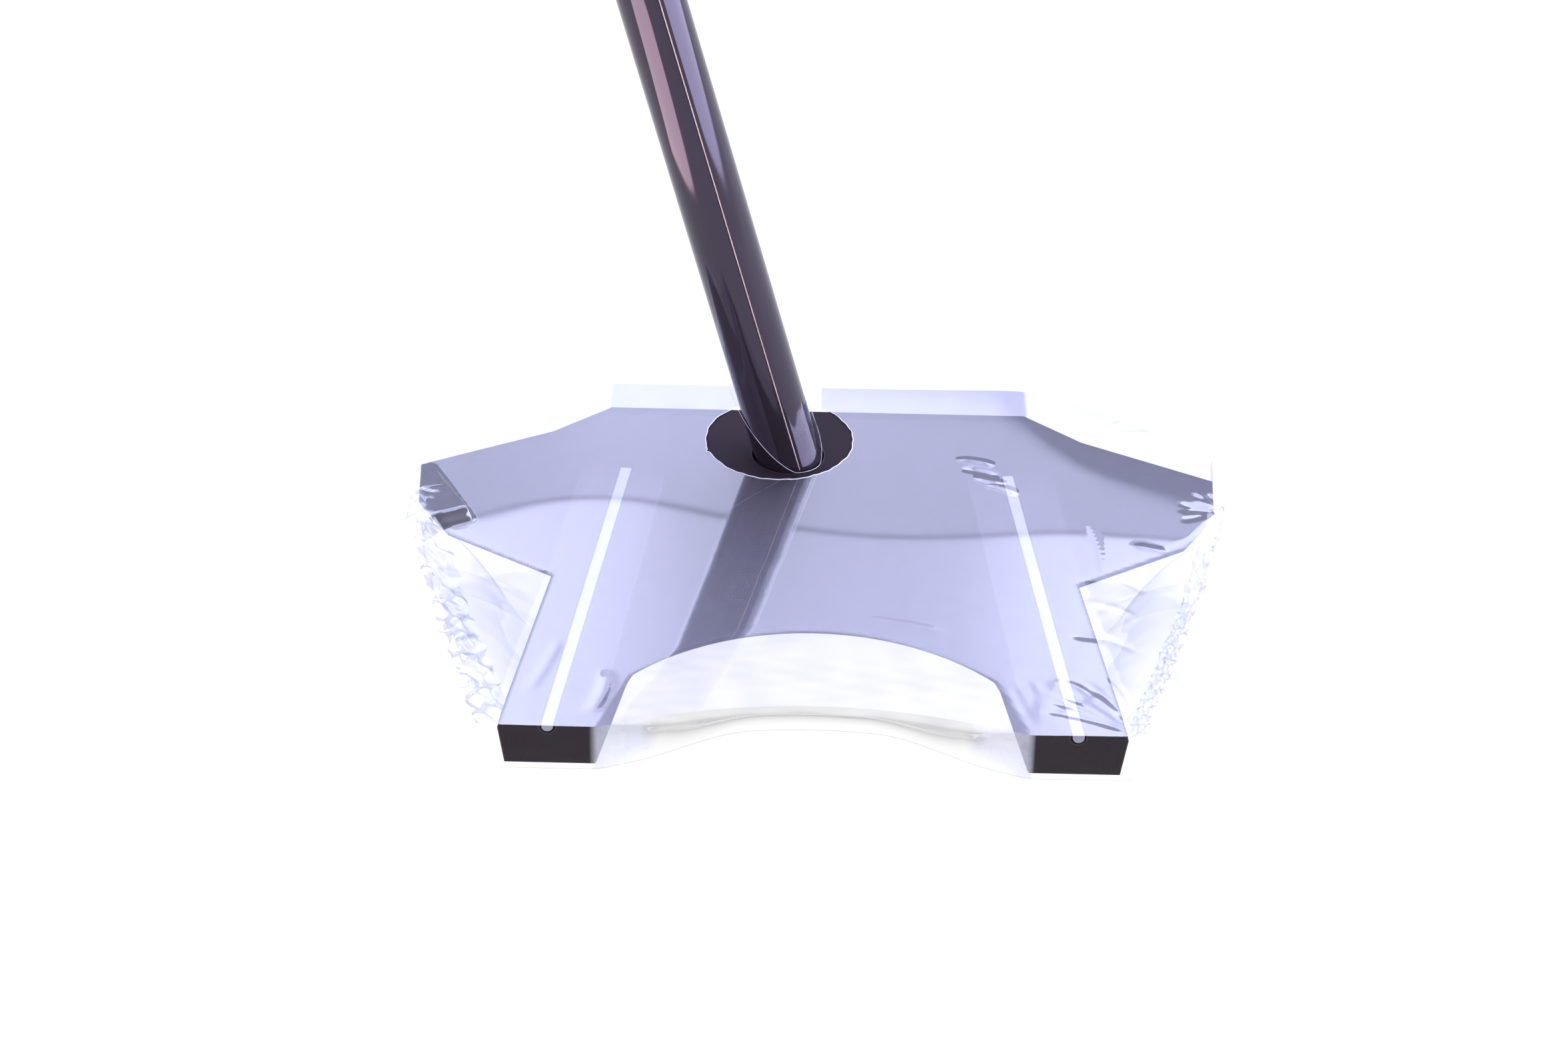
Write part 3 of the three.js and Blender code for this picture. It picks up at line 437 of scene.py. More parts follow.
# %% Film finish
def clear_film(name, mirror_low, mirror_steep, scuffs, tint):
    """Transparent film. Its mirror share is mirror_low head-on and grows with the angle. Where its tint
    attribute rises, what is seen through it is tinted and darkened (painted shade on the wrap), where
    scuff rises it has more broad shine, and where gloss falls it mirrors less."""
    material, tree, out = new_material(name)
    place = node(tree, "TexCoord").outputs["Object"]
    tint_and_shade = node(tree, "Attribute", {"attribute_name": "tint_and_shade"}).outputs["Fac"]
    scuff_and_edge_sheen = node(tree, "Attribute", {"attribute_name": "scuff"}).outputs["Fac"]
    marks = node(tree, "TexNoise", None, Vector=place, Scale=700.0, Detail=6.0, Roughness=0.7)
    facing = node(tree, "LayerWeight", None, Blend=0.5).outputs["Facing"]
    steep = node(tree, "Math", {"operation": "POWER"}, i0=facing, i1=mirror_steep).outputs[0]
    gloss = node(tree, "Attribute", {"attribute_name": "gloss"}).outputs["Fac"]
    full_share = remapped(tree, steep, 0.0, 1.0, mirror_low, 1.0)
    mirror_share = node(tree, "Math", {"operation": "MULTIPLY"}, i0=full_share, i1=gloss).outputs[0]
    # The window's tint darkens what is seen through the film: painted shade on the wrap's lip and gaps,
    # the film's own tint elsewhere.
    window = node(
        tree, "BsdfTransparent", None, Color=blend_colours(tree, tint_and_shade, (1.0, 1.0, 1.0, 1), (*tint, 1))
    )
    broad = node(tree, "BsdfAnisotropic", None, Color=(0.84, 0.86, 1, 1), Roughness=0.45)
    sharp = node(tree, "BsdfAnisotropic", None, Color=(1, 1, 1, 1), Roughness=0.02)
    patchy = remapped(tree, marks.outputs["Fac"], 0.3, 0.7, 0.85, 1.15)
    wear = node(tree, "Math", {"operation": "MULTIPLY"}, i0=scuff_and_edge_sheen, i1=patchy).outputs[0]
    scuffed = remapped(tree, wear, 0.0, 1.0, scuffs[0], scuffs[1])
    body = node(tree, "MixShader", None, i0=scuffed, i1=window.outputs[0], i2=broad.outputs[0])
    film = node(tree, "MixShader", None, i0=mirror_share, i1=body.outputs[0], i2=sharp.outputs[0])
    tree.links.new(film.outputs[0], out.inputs["Surface"])
    return material


def mark_film(made, tint_and_shade, scuff=0.0, gloss=1.0):
    """Writes a film piece's three numbers, each one value or one for every vertex."""
    count = len(made.data.vertices)
    for name, values in (("tint_and_shade", tint_and_shade), ("scuff", scuff), ("gloss", gloss)):
        attribute(made, name, np.broadcast_to(np.asarray(values, float).ravel(), (count,)))


# The wrap's and lower sheet's tint colours darken what is seen through them: painted shade. The sleeve's
# tint is the film's own.
wrap_film = clear_film("wrap_film", 0.075, 2.9, (0.015, 0.20), (0.44, 0.45, 0.62))
wall_film = clear_film("wall_film", 0.010, 4.5, (0.0, 0.4), (0.62, 0.62, 0.76))
sleeve_film = clear_film("sleeve_film", 0.0, 9.0, (0.0, 0.3), (0.9, 0.9, 0.97))
print("film finishes ready")

# %% [markdown]
# ## The wrap's upper sheet
# The film is a pouch that was shrunk round the head. Its upper sheet lies on the crown, has a
# hole for the shaft with a slit to the open front, and is drawn down to a seam along each side.
# The sheet is one grid: one parameter runs round the hole from one edge of the slit to the
# other, and the other runs from the hole's rim out to the sheet's edge.

# %% Wrap outline
crown = crown_z / MM
head_half = head_high.x / MM
face_y = head_high.y / MM
rear_y = head_low.y / MM
mouth_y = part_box("head_wrap")[1].y / MM
bond_low, bond_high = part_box("shaft_bond")
band_low, band_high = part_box("shaft_band")
axis_low = np.array((bond_low + bond_high) / 2) / MM
axis_high = np.array((band_low + band_high) / 2) / MM
axis = (axis_high - axis_low) / np.linalg.norm(axis_high - axis_low)
foot = axis_low + axis * (crown - axis_low[2]) / axis[2]
TIP_RADIUS = 4.7
HOLE_RADIUS = 10.7
hole = foot[:2] + np.array([-1.3, 3.7])
SLIT_TOE_X = foot[0] + TIP_RADIUS
SLIT_HEEL_X = SLIT_TOE_X - 10.0
FILM_CLEAR = 0.12
seam_half_front = head_half + 0.5
seam_half_rear = 42.2
WING_SIDE_Y = -14.0

# Distances from the middle line to the crown's edge, and to the film's side edge, by place.
EDGE_Y = [rear_y, -30.3, -20.5, -12.5, -4.5]
EDGE_HALF = [41.0, 36.0, 51.5, 56.3, head_half]
SEAM_Y = [rear_y - 0.6, WING_SIDE_Y, -4.5]
ARC_APEX_Y = -42.2
FANG_ROOM = 27.8
SEAM_HALF = [seam_half_rear, head_half + 0.5, head_half + 0.6]


def swept_edge(x):
    """How far forward the crown reaches at x: level across the middle, swept back outside."""
    return np.interp(np.abs(x), [30.3, 38.4, head_half], [face_y, 5.1, -4.5])


def along(points, count):
    """count points spread evenly along a line of corners."""
    steps = np.hypot(*np.diff(points, axis=0).T)
    total = np.concatenate([[0], np.cumsum(steps)])
    wanted = np.linspace(0, total[-1], count)
    return np.column_stack([np.interp(wanted, total, points[:, side]) for side in (0, 1)])


def soften(points, times):
    """Each point moves a little towards its neighbours, times over. The two ends stay."""
    points = points.copy()
    for _ in range(times):
        points[1:-1] = 0.25 * points[:-2] + 0.5 * points[1:-1] + 0.25 * points[2:]
    return points


REAR_RISE = 6.0
toe_edge = [
    [SLIT_TOE_X, mouth_y], [30.3, mouth_y], [40.0, 15.0], [50.0, 8.5], [seam_half_front, 1.0],
    [seam_half_front + 0.1, -4.5], [seam_half_front, WING_SIDE_Y], [seam_half_rear, rear_y - 0.5],
    [FANG_ROOM, rear_y - 0.6],
]
bow = np.linspace(1, -1, 25)[1:-1]
rear_edge = [[FANG_ROOM * share, rear_y - 0.6 + REAR_RISE * (1 - share**2)] for share in bow]
heel_edge = [[-x, y] for x, y in toe_edge[:0:-1]] + [[SLIT_HEEL_X, mouth_y]]
AROUND = 640
outline = soften(along(np.array(toe_edge + rear_edge + heel_edge), AROUND), 6)
print("outline length", round(float(np.hypot(*np.diff(outline, axis=0).T).sum()), 1))

# %% Film waves and folds
def waves(x, y, shortest, longest, count, seed):
    """A gentle field: the mean of count sine waves, each with its own heading and length."""
    draw = np.random.default_rng(seed)
    headings = draw.uniform(0, math.pi, count)
    lengths = draw.uniform(shortest, longest, count)
    starts = draw.uniform(0, 2 * math.pi, count)
    field = np.zeros_like(x)
    for heading, length, start in zip(headings, lengths, starts):
        run = x * math.cos(heading) + y * math.sin(heading)
        field = field + np.sin(2 * math.pi * run / length + start)
    return field / count


def fold(x, y, start, end, bend, width, height):
    """A ridge from start to end, bowed sideways by bend. Across it the height falls off as a
    bell curve of that width, and it dies away at both ends."""
    start, end = np.array(start), np.array(end)
    length = np.hypot(*(end - start))
    ahead = (end - start) / length
    run = ((x - start[0]) * ahead[0] + (y - start[1]) * ahead[1]) / length
    off = -(x - start[0]) * ahead[1] + (y - start[1]) * ahead[0]
    off = off - bend * 4 * run * (1 - run)
    ends = smooth_step(run, 0, 0.25) * (1 - smooth_step(run, 0.75, 1))
    return height * np.exp(-((off / width) ** 2)) * ends


def fan_of_folds(x, y, centre, heading, spread, reach, count, width, height, seed):
    """Folds that run out from a pinched point, as film does where it is gathered."""
    draw = np.random.default_rng(seed)
    field = np.zeros_like(x)
    for share in np.linspace(-1, 1, count):
        angle = math.radians(heading + spread * (share + draw.uniform(-0.15, 0.15)))
        near, far = draw.uniform(0.08, 0.3) * reach, draw.uniform(0.7, 1.0) * reach
        way = np.array([math.cos(angle), math.sin(angle)])
        tall = height * draw.uniform(0.5, 1.0) * draw.choice([-1, 1])
        field = field + fold(
            x, y, centre + way * near, centre + way * far, draw.uniform(-0.06, 0.06) * reach, width, tall
        )
    return field


TOE_LIFT = 0.30
SHOULDER_REACH = 12.0
SHOULDER_FALL = 0.00008
ARC_SAG = 10.4
ARC_HALF = 24.0
FLAP_START = (-50.0, -18.8)
FLAP_WAY = (-0.45, 0.893)
FLAP_HALF = 1.6


def arc_edge(half):
    """Where the crown ends between the fangs: a parabola close to the arc."""
    return ARC_APEX_Y - ARC_SAG * (half / ARC_HALF) ** 2


def sheet_height(x, y):
    """The upper sheet's height above the crown: a hair's gap over the rails, slightly slack over
    the plate, bent down past the swept front edge, and drawn down to the side seams."""
    half = np.abs(x)
    z = np.full_like(x, FILM_CLEAR)
    z += 0.045 * waves(x, y, 45, 80, 6, 3)
    z += 0.0028 * (y + 14) * np.exp(-(((x + 33) / 16) ** 2)) * np.exp(-(((y + 14) / 12) ** 2))
    z += TOE_LIFT * smooth_step(x, 5, 42)
    ahead = np.clip(y - swept_edge(x) + SHOULDER_REACH, 0, None)
    outside = smooth_step(x, 26, 44) + 0.2 * smooth_step(-x, 26, 44)
    z -= outside * SHOULDER_FALL * ahead**3
    edge = np.interp(y, EDGE_Y, EDGE_HALF)
    seam = np.interp(y, SEAM_Y, SEAM_HALF)
    room = np.clip(seam - edge, 0.5, None)
    past = np.clip((half - edge - 0.4) / room, 0, 1.2)
    z -= np.clip(room, 0, 16) / 16 * 3.2 * past**1.6
    behind = np.clip(arc_edge(half) - 0.4 - y, 0, None) * (half < 27)
    z -= 0.004 * behind**1.5 * smooth_step(27 - half, 0, 6)
    return z


def sheet_folds(x, y):
    """The creases that show: a patch by the toe-side sight line, pinches at the wing tips and
    fang ends, and a few loose ones."""
    z = np.zeros_like(x)
    for start, end, bend, width, height in LOOSE_FOLDS:
        z += fold(x, y, start, end, bend, width, height)
    for centre, heading, spread, reach, count, width, height, seed in PINCHES:
        z += fan_of_folds(x, y, np.array(centre), heading, spread, reach, count, width, height, seed)
    rough = smooth_step(x, 22, 27) * (1 - smooth_step(x, 41, 43)) * (1 - smooth_step(y, -56, -48))
    z += 0.05 * rough * waves(x * 0.5, y, 2.5, 6, 9, 21)
    return z + lifted_flap(x, y)


def lifted_flap(x, y):
    """At the heel-side wing tip the film stands off the crown along a fold, and slopes forwards
    to the corner, so that it mirrors the dim room. The flap is a band between two lines."""
    ahead = (x - FLAP_START[0]) * FLAP_WAY[0] + (y - FLAP_START[1]) * FLAP_WAY[1]
    aside = (x - FLAP_START[0]) * FLAP_WAY[1] - (y - FLAP_START[1]) * FLAP_WAY[0]
    inner = smooth_step(-aside, -FLAP_HALF - 0.5, -FLAP_HALF + 0.2)
    band = inner * smooth_step(ahead, -1.2, 0.3) * (1 - smooth_step(ahead, 13.5, 15.5))
    return band * (1.9 - 0.115 * ahead + 0.08 * waves(x, y, 3, 7, 6, 77))


LOOSE_FOLDS = [
    ((20.0, -0.5), (25.5, -2.0), 0.4, 0.45, 0.16),
    ((21.0, -3.0), (26.0, -5.0), 0.5, 0.5, -0.20),
    ((22.5, -5.0), (27.0, -6.5), -0.4, 0.4, 0.18),
    ((24.0, -7.0), (28.5, -9.5), 0.5, 0.45, 0.16),
    ((38.0, -14.0), (39.5, -31.0), 0.6, 0.22, 0.03),
    ((40.5, -29.0), (45.5, -32.0), 0.4, 0.5, -0.15),
    ((36.5, -36.0), (44.0, -38.5), 0.6, 0.5, 0.14),
    ((34.0, -44.0), (44.0, -47.0), 0.9, 0.6, -0.12),
    ((44.0, -22.0), (50.0, -24.5), 0.4, 0.4, 0.12),
    ((-27.5, -53.0), (-29.5, -64.0), 0.8, 0.9, 0.10),
    ((6.0, -40.5), (18.0, -43.5), 0.4, 0.5, 0.03),
    ((-16.0, -30.0), (20.0, -33.0), 3.0, 3.0, 0.010),
    ((-34.0, -46.0), (-38.0, -60.0), 0.4, 0.8, 0.04),
]
PINCHES = [
    ((57.5, -13.0), 150.0, 50.0, 7.0, 8, 0.35, 0.10, 5),
    ((-57.5, -12.0), 20.0, 50.0, 6.0, 6, 0.4, 0.14, 6),
    ((43.0, -66.0), 125.0, 40.0, 17.0, 12, 0.35, 0.07, 8),
    ((29.0, -66.0), 70.0, 30.0, 14.0, 9, 0.35, 0.06, 9),
    ((40.0, 8.0), 35.0, 30.0, 16.0, 9, 0.3, 0.10, 10),
    ((-36.0, 12.0), 140.0, 30.0, 15.0, 9, 0.3, 0.10, 11),
    ((-57.0, -30.0), -10.0, 50.0, 10.0, 7, 0.35, 0.12, 12),
    ((-52.0, -45.0), 0.0, 60.0, 8.0, 6, 0.35, 0.12, 13),
]
print("folds", len(LOOSE_FOLDS) + sum(pinch[4] for pinch in PINCHES))

# %% Upper sheet
ACROSS = 130


def rim_and_sheet():
    """Rows of the sheet from the hole's rim to its outline. A row is the mix of the two curves,
    with the rim's point always the one that faces the outline's."""
    out_way = outline - hole
    bearing = np.unwrap(np.arctan2(out_way[:, 0], out_way[:, 1]))
    toe_start = math.atan2(SLIT_TOE_X - hole[0], math.sqrt(HOLE_RADIUS**2 - (SLIT_TOE_X - hole[0]) ** 2))
    heel_off = SLIT_HEEL_X - hole[0]
    heel_end = 2 * math.pi + math.atan2(heel_off, math.sqrt(HOLE_RADIUS**2 - heel_off**2))
    run = np.linspace(0, 1, AROUND)
    bearing = bearing + (toe_start - bearing[0]) * np.exp(-run * 30)
    bearing = bearing + (heel_end - bearing[-1]) * np.exp(-(1 - run) * 30)
    nick = 0.10 * np.sin(run * 95) * np.sin(run * 41) + 0.35 * np.exp(-(((run - 0.80) * 260) ** 2))
    reach = HOLE_RADIUS + nick
    rim = hole + np.stack([reach * np.sin(bearing), reach * np.cos(bearing)], axis=1)
    share = np.linspace(0, 1, ACROSS)[:, None, None]
    return rim, rim[None] * (1 - share) + outline[None] * share


rim, plan = rim_and_sheet()
sheet_x, sheet_y = plan[..., 0], plan[..., 1]
sheet_z = crown + sheet_height(sheet_x, sheet_y) + sheet_folds(sheet_x, sheet_y)
supported = (np.abs(sheet_x) < np.interp(sheet_y, EDGE_Y, EDGE_HALF)) & (sheet_y < swept_edge(sheet_x))
arc_gap = (sheet_y < arc_edge(np.abs(sheet_x))) & (np.abs(sheet_x) < 27)
floor_z = crown + 0.04
sheet_z = np.where(supported & ~arc_gap, np.maximum(sheet_z, floor_z), sheet_z)
upper = np.stack([sheet_x, sheet_y, sheet_z], axis=2)
EDGE_SEEN = 1.4
GAP_GLOSS_LOST = 0.75


def over_gaps(x, y):
    """1 where the film spans the open gaps beside and between the fangs, and 0 elsewhere. It
    starts a little behind the crown's edge, because the film stands off the sunken floor."""
    half = np.abs(x)
    y = y + EDGE_SEEN
    edge = np.interp(y, EDGE_Y, EDGE_HALF)
    beside = smooth_step(half, edge - 0.4, edge + 0.1) * smooth_step(-y, 16, 22)
    fang_side = ARC_HALF + (arc_edge(ARC_HALF) - y) * 0.34
    between = smooth_step(arc_edge(half) - y, 0, 0.5) * (1 - smooth_step(half, fang_side, fang_side + 0.4))
    return np.clip(beside + between, 0, 1)


def sheet_tint_and_shade(x, y):
    """How much the film tints and darkens what is seen through it, as painted shade: most on the free lip,
    fainter where the lip falls away at the shoulders, and some where the film spans the open gaps. Small
    streaks are the film's own tint."""
    half = np.abs(x)
    lip = smooth_step(y, swept_edge(x) - 2.2, swept_edge(x) - 1.4)
    level = 1 - 0.85 * smooth_step(half, 30.4, 31.0)
    beside = (half > 30) * over_gaps(x, y)
    between = (half < 30) * over_gaps(x, y)
    streaks = 0.08 * waves(x, y * 0.4, 3, 12, 7, 91)
    return np.clip(lip * level + 0.45 * beside + 0.15 * between + streaks, 0, 1)


def scuffing(x, y):
    """How much broad shine the film has: more where it grips the rails, and more to the rear."""
    half = np.abs(x)
    inner = 21.2 + np.clip(-2 - y, 0, 64) * 0.102
    outer = 33.2 + np.clip(-2 - y, 0, 64) * 0.122
    rail = smooth_step(half, inner - 0.4, inner + 0.4) * (1 - smooth_step(half, outer - 0.4, outer + 0.4))
    rail = rail * smooth_step(-y, 2, 12)
    return np.clip(0.42 + 0.12 * rail + 0.14 * smooth_step(-y, 12, 50), 0, 1)


wrap = surface("wrap_upper_sheet", upper, wrap_film, "clear_film", flip=True)
# The first numbers are painted shade on the lip and over the gaps, with streaks of film tint.
mark_film(
    wrap,
    sheet_tint_and_shade(sheet_x, sheet_y),
    scuffing(sheet_x, sheet_y),
    1 - GAP_GLOSS_LOST * over_gaps(sheet_x, sheet_y),
)
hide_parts("head_wrap")

# %% [markdown]
# ## The wrap's sides and lower sheet
# Below its edge the film turns down: it lies flat against the wing tips, pinches into a seam
# along each side, and folds round the fang ends. The lower sheet then runs under the sole. The
# front is left open, so the faces there are skipped.

# %% Lower sheet
edge_x, edge_y = outline[:, 0], outline[:, 1]
top_z = sheet_z[-1]
WING_LOW = 7.0
SEAM_DEPTH = 1.4
FANG_LOW = 17.7
ARC_LOW = 20.4
at_side = smooth_step(-edge_y, 12, 18)
at_rear = smooth_step(-edge_y, -rear_y - 8, -rear_y - 1)
low_z = WING_LOW * (1 - at_side) + (top_z - SEAM_DEPTH) * at_side
rear_low = ARC_LOW + (FANG_LOW - ARC_LOW) * smooth_step(np.abs(edge_x), 8, 24)
low_z = low_z * (1 - at_rear) + rear_low * at_rear
in_arc = (edge_y < -55) & (np.abs(edge_x) < FANG_ROOM)
low_z = np.where(in_arc, rear_low, low_z)
front = smooth_step(edge_y, -4, 2)
low_z = low_z * (1 - front) + 0.35 * front
low_z = soften(np.stack([low_z, low_z], axis=1), 8)[:, 0]

WALL_ROWS = 18
LOW_ROWS = 60
sink = np.array([0.0, -12.0])


def sole_height(x, y):
    """The lower sheet's height away from its edge: flat under the sole, then rising under the
    ribs and fangs, and rising at heel and toe with the sole's camber."""
    back = np.clip(-8 - y, 0, None)
    z = 0.3 + back * 0.295
    z = z + np.clip(np.abs(x) - 41.7, 0, None) * 0.46
    return z + 0.25 * waves(x, y, 8, 22, 7, 31)


wall_share = np.linspace(0, 1, WALL_ROWS)[:, None]
bulge = 0.35 * np.sin(math.pi * wall_share)
out_x, out_y = np.gradient(edge_y), -np.gradient(edge_x)
length = np.hypot(out_x, out_y)
out_x, out_y = -out_x / length, -out_y / length
crinkle = 0.10 * waves(np.arange(AROUND)[None] * 0.3 + wall_share * 2, wall_share * 9, 2, 5, 6, 33)
wall = np.stack([
    edge_x + out_x * (bulge * 0.6 + crinkle * np.sin(math.pi * wall_share)),
    edge_y + out_y * (bulge * 0.6 + crinkle * np.sin(math.pi * wall_share)),
    top_z * (1 - wall_share) + low_z * wall_share,
], axis=2)
low_share = np.linspace(0, 1, LOW_ROWS + 1)[1:, None] ** 1.3
low_x = edge_x * (1 - low_share) + sink[0] * low_share
low_y = edge_y * (1 - low_share) + sink[1] * low_share
settle = smooth_step(low_share, 0, 0.35)
low_height = low_z * (1 - settle) + np.minimum(sole_height(low_x, low_y), low_z + 12) * settle
lower = np.stack([low_x, low_y, low_height], axis=2)
folded = np.concatenate([wall, lower])
folded[..., 2] = np.maximum(folded[..., 2], 0.02)
open_front = np.zeros((len(folded) - 1, AROUND - 1), bool)
open_front[: WALL_ROWS - 1] = (edge_y[:-1] > 1.0)[None]
under = surface("wrap_lower_sheet", folded, wall_film, "clear_film", skip=open_front, flip=True)
between_fangs = (folded[..., 1] < -50) * smooth_step(np.abs(folded[..., 0]), 20, 23)
wall_scuff = between_fangs * (1 - smooth_step(np.abs(folded[..., 0]), 28.2, 28.8))
near_edge = 1 - smooth_step(-folded[..., 1], 48, 58)
# A faint darkening of what is seen through the front part of the lower sheet: painted shade near the head,
# varied by waves of film tint.
wall_tint_and_shade = (0.10 + 0.2 * waves(folded[..., 0], folded[..., 1], 4, 14, 7, 92)) * near_edge
mark_film(under, wall_tint_and_shade, wall_scuff)

# %% [markdown]
# ## Seams and rims
# Where film was sealed and shrunk it is thick and crumpled, and where it was cut its edge catches the
# light. The heel-side seam is a loose crumpled ribbon, the toe-side one a finely crimped one, and each cut
# edge has a thin pale bead whose colour is a painted highlight.

# %% Seams
def ribbon(side, width, crumple, pitch, seed, lift):
    """A strip along one side's edge. Across it the film rolls over. Its height and its reach
    both swing quickly, as zigzags, to make folds."""
    run = np.linspace(0, 1, 420)[None]
    across = np.linspace(-1, 1, 12)[:, None]
    y = WING_SIDE_Y + 3 + (rear_y + 1 - WING_SIDE_Y - 3) * run
    half = np.interp(y, SEAM_Y, SEAM_HALF)
    base = crown + sheet_height(side * half, y)
    jitter = waves(run * 55 + across * 0.8, across * 3 + run * 4, pitch, pitch * 3.2, 9, seed)
    second = waves(run * 55 - across * 1.1, across * 4 - run * 5, pitch, pitch * 2.4, 9, seed + 1)
    reach = half + across * width / 2 + crumple * 0.5 * second - width * 0.25
    reach = np.minimum(reach, head_half + 1.2)
    x = side * (reach + 0 * run)
    z = base - 0.7 + lift + crumple * jitter * (1.2 - 0.4 * across**2)
    return np.stack([x, y + crumple * 0.4 * jitter, z], axis=2)


heel_seam = surface(
    "wrap_heel_seam", ribbon(-1, 5.0, 1.5, 2.2, 41, 0.2), wrap_film, "clear_film", flip=True
)
mark_film(heel_seam, 0.45, 0.3)
toe_seam = surface("wrap_toe_seam", ribbon(1, 2.6, 0.9, 1.0, 51, 0.1), wrap_film, "clear_film")
mark_film(toe_seam, 0.5, 0.3)


def bead(name, path, radius, sides, material, closed=False):
    """A thin round bead carried along a path: a ring of points at right angles to the path at
    every step."""
    ahead = np.gradient(path, axis=0)
    if closed:
        ahead = np.roll(path, -1, axis=0) - np.roll(path, 1, axis=0)
    ahead = ahead / np.linalg.norm(ahead, axis=1, keepdims=True)
    level = np.cross(ahead, [0.0, 0.0, 1.0])
    level = level / np.linalg.norm(level, axis=1, keepdims=True)
    above = np.cross(level, ahead)
    angle = np.linspace(0, 2 * math.pi, sides, endpoint=False)[None, :, None]
    rings = path[:, None] + radius * (level[:, None] * np.cos(angle) + above[:, None] * np.sin(angle))
    if closed:
        rings = np.concatenate([rings, rings[:1]])
    return surface(name, rings, material, "clear_film", wrap=True, caps=not closed, flip=True)


# Pale beads along the cut edges: a painted highlight for the light that a cut film edge catches.
cut_edge_highlight = textured(
    "painted_edge_highlight", (0.62, 0.62, 0.7), (0.8, 0.8, 0.86), (0.2, 0.4), 900.0, 3000.0, 0.4
)
rim_path = np.column_stack([rim, sheet_z[0] + 0.02])[::2]
bead("wrap_hole_rim", rim_path, 0.06, 6, cut_edge_highlight)

# %% [markdown]
# ## The shaft and its sleeve
# A steel shaft is a tube that steps up in width. It is a profile of radii carried along the
# axis. Its black chrome gives back little light, so it is a dark body under a strong gloss.
# Over it is a clear sleeve, the same profile a little wider, cut off at a slant, with a seam
# up its length.

# %% Shaft
BUTT_RADIUS = 7.35
STEP_COUNT = 8
FIRST_STEP = 150.0
STEP_PITCH = 42.0
STEP_RAMP = 1.5
heel_way = np.cross(axis, [0.0, 1.0, 0.0])
heel_way = heel_way / np.linalg.norm(heel_way)
front_way = np.cross(axis, heel_way)


def station_of(node_name, end):
    """How far up the axis from the crown a round piece's end is. A leaning cylinder's box is
    half its length times the axis plus its radius times what is left of the axis, both in x
    and in z, so the radius drops out between the two."""
    low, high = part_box(node_name)
    middle = np.array((low + high) / 2) / MM
    lean = abs(axis[0])
    share = math.sqrt((1 - axis[2] ** 2) / (1 - lean**2))
    half_x = (high.x - low.x) / MM / 2
    half_z = (high.z - low.z) / MM / 2
    half = (half_z - half_x * share) / (axis[2] - lean * share)
    return float((middle - foot) @ axis + end * half)


def step_radius(station):
    """The shaft's radius at a station: level runs joined by short ramps."""
    share = np.zeros_like(station)
    for step in range(STEP_COUNT):
        start = FIRST_STEP + step * STEP_PITCH
        share = share + smooth_step(station, start, start + STEP_RAMP) / STEP_COUNT
    return TIP_RADIUS + (BUTT_RADIUS - TIP_RADIUS) * share


def about_axis(stations, radii, angles):
    """Points at a radius and an angle about the shaft's axis. Angle 0 faces the heel side."""
    turn = np.cos(angles)[..., None] * heel_way + np.sin(angles)[..., None] * front_way
    return foot + stations[..., None] * axis + radii[..., None] * turn


black_chrome, tree, out = new_material("black_chrome")
place = node(tree, "TexCoord").outputs["Object"]
haze = node(tree, "TexNoise", None, Vector=place, Scale=90.0, Detail=4.0).outputs["Fac"]
drawn = node(tree, "Mapping", None, Vector=place, Scale=(1.0, 1.0, 0.02)).outputs[0]
lines = node(tree, "TexNoise", None, Vector=drawn, Scale=500.0, Detail=2.0).outputs["Fac"]
ripple = node(tree, "Bump", None, Height=lines, Strength=0.02, Distance=0.00005).outputs["Normal"]
chrome = node(
    tree,
    "BsdfPrincipled",
    None,
    Base_Color=blend_colours(tree, haze, (0.013, 0.010, 0.015, 1), (0.020, 0.016, 0.023, 1)),
    Roughness=remapped(tree, haze, 0.3, 0.7, 0.04, 0.07),
    Specular_IOR_Level=0.62,
    Specular_Tint=(0.82, 0.70, 0.98, 1),
    Normal=ripple,
)
tree.links.new(chrome.outputs[0], out.inputs["Surface"])

SIDES = 96
shaft_top = station_of("grip_tape", 1) + 3.0
stations = np.unique(np.concatenate([
    np.linspace(-16.5, shaft_top, 260),
    *[FIRST_STEP + step * STEP_PITCH + np.linspace(-0.5, 2, 9) for step in range(STEP_COUNT)],
]))
angles = np.linspace(0, 2 * math.pi, SIDES, endpoint=False)
s, a = np.meshgrid(stations, angles, indexing="ij")
shaft = surface(
    "chrome_shaft", about_axis(s, step_radius(s), a), black_chrome, "dark_chrome", wrap=True, caps=True
)
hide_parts("shaft")

# %% Sleeve
SLEEVE_CLEAR = 0.45
SLEEVE_CUT = (7.7, 6.4, -7.2)
sleeve_top = station_of("shaft_band", -1) - 8.0
sleeve_bottom = SLEEVE_CUT[0] + SLEEVE_CUT[1] * np.cos(angles) + SLEEVE_CUT[2] * np.sin(angles)


def sleeve_points():
    """The sleeve's film: the shaft's profile a little wider, with a loose flare above its
    slanted lower end, and gentle slackness along it."""
    share = np.concatenate([np.linspace(0, 0.08, 40), np.linspace(0.08, 1, 180)[1:]])[:, None]
    station = sleeve_bottom[None] * (1 - share) + sleeve_top * share
    angle = angles[None] + 0 * share
    above = station - sleeve_bottom[None]
    flare = 0.15 * np.exp(-above / 9.0) * (1 + np.cos(angle - 0.5)) / 2
    slack = 0.05 * waves(station * 0.4, angle * 6, 6, 18, 6, 61)
    points = about_axis(station, step_radius(station) + SLEEVE_CLEAR + flare + slack, angle)
    points[..., 2] = np.maximum(points[..., 2], crown + 0.15)
    return points, above


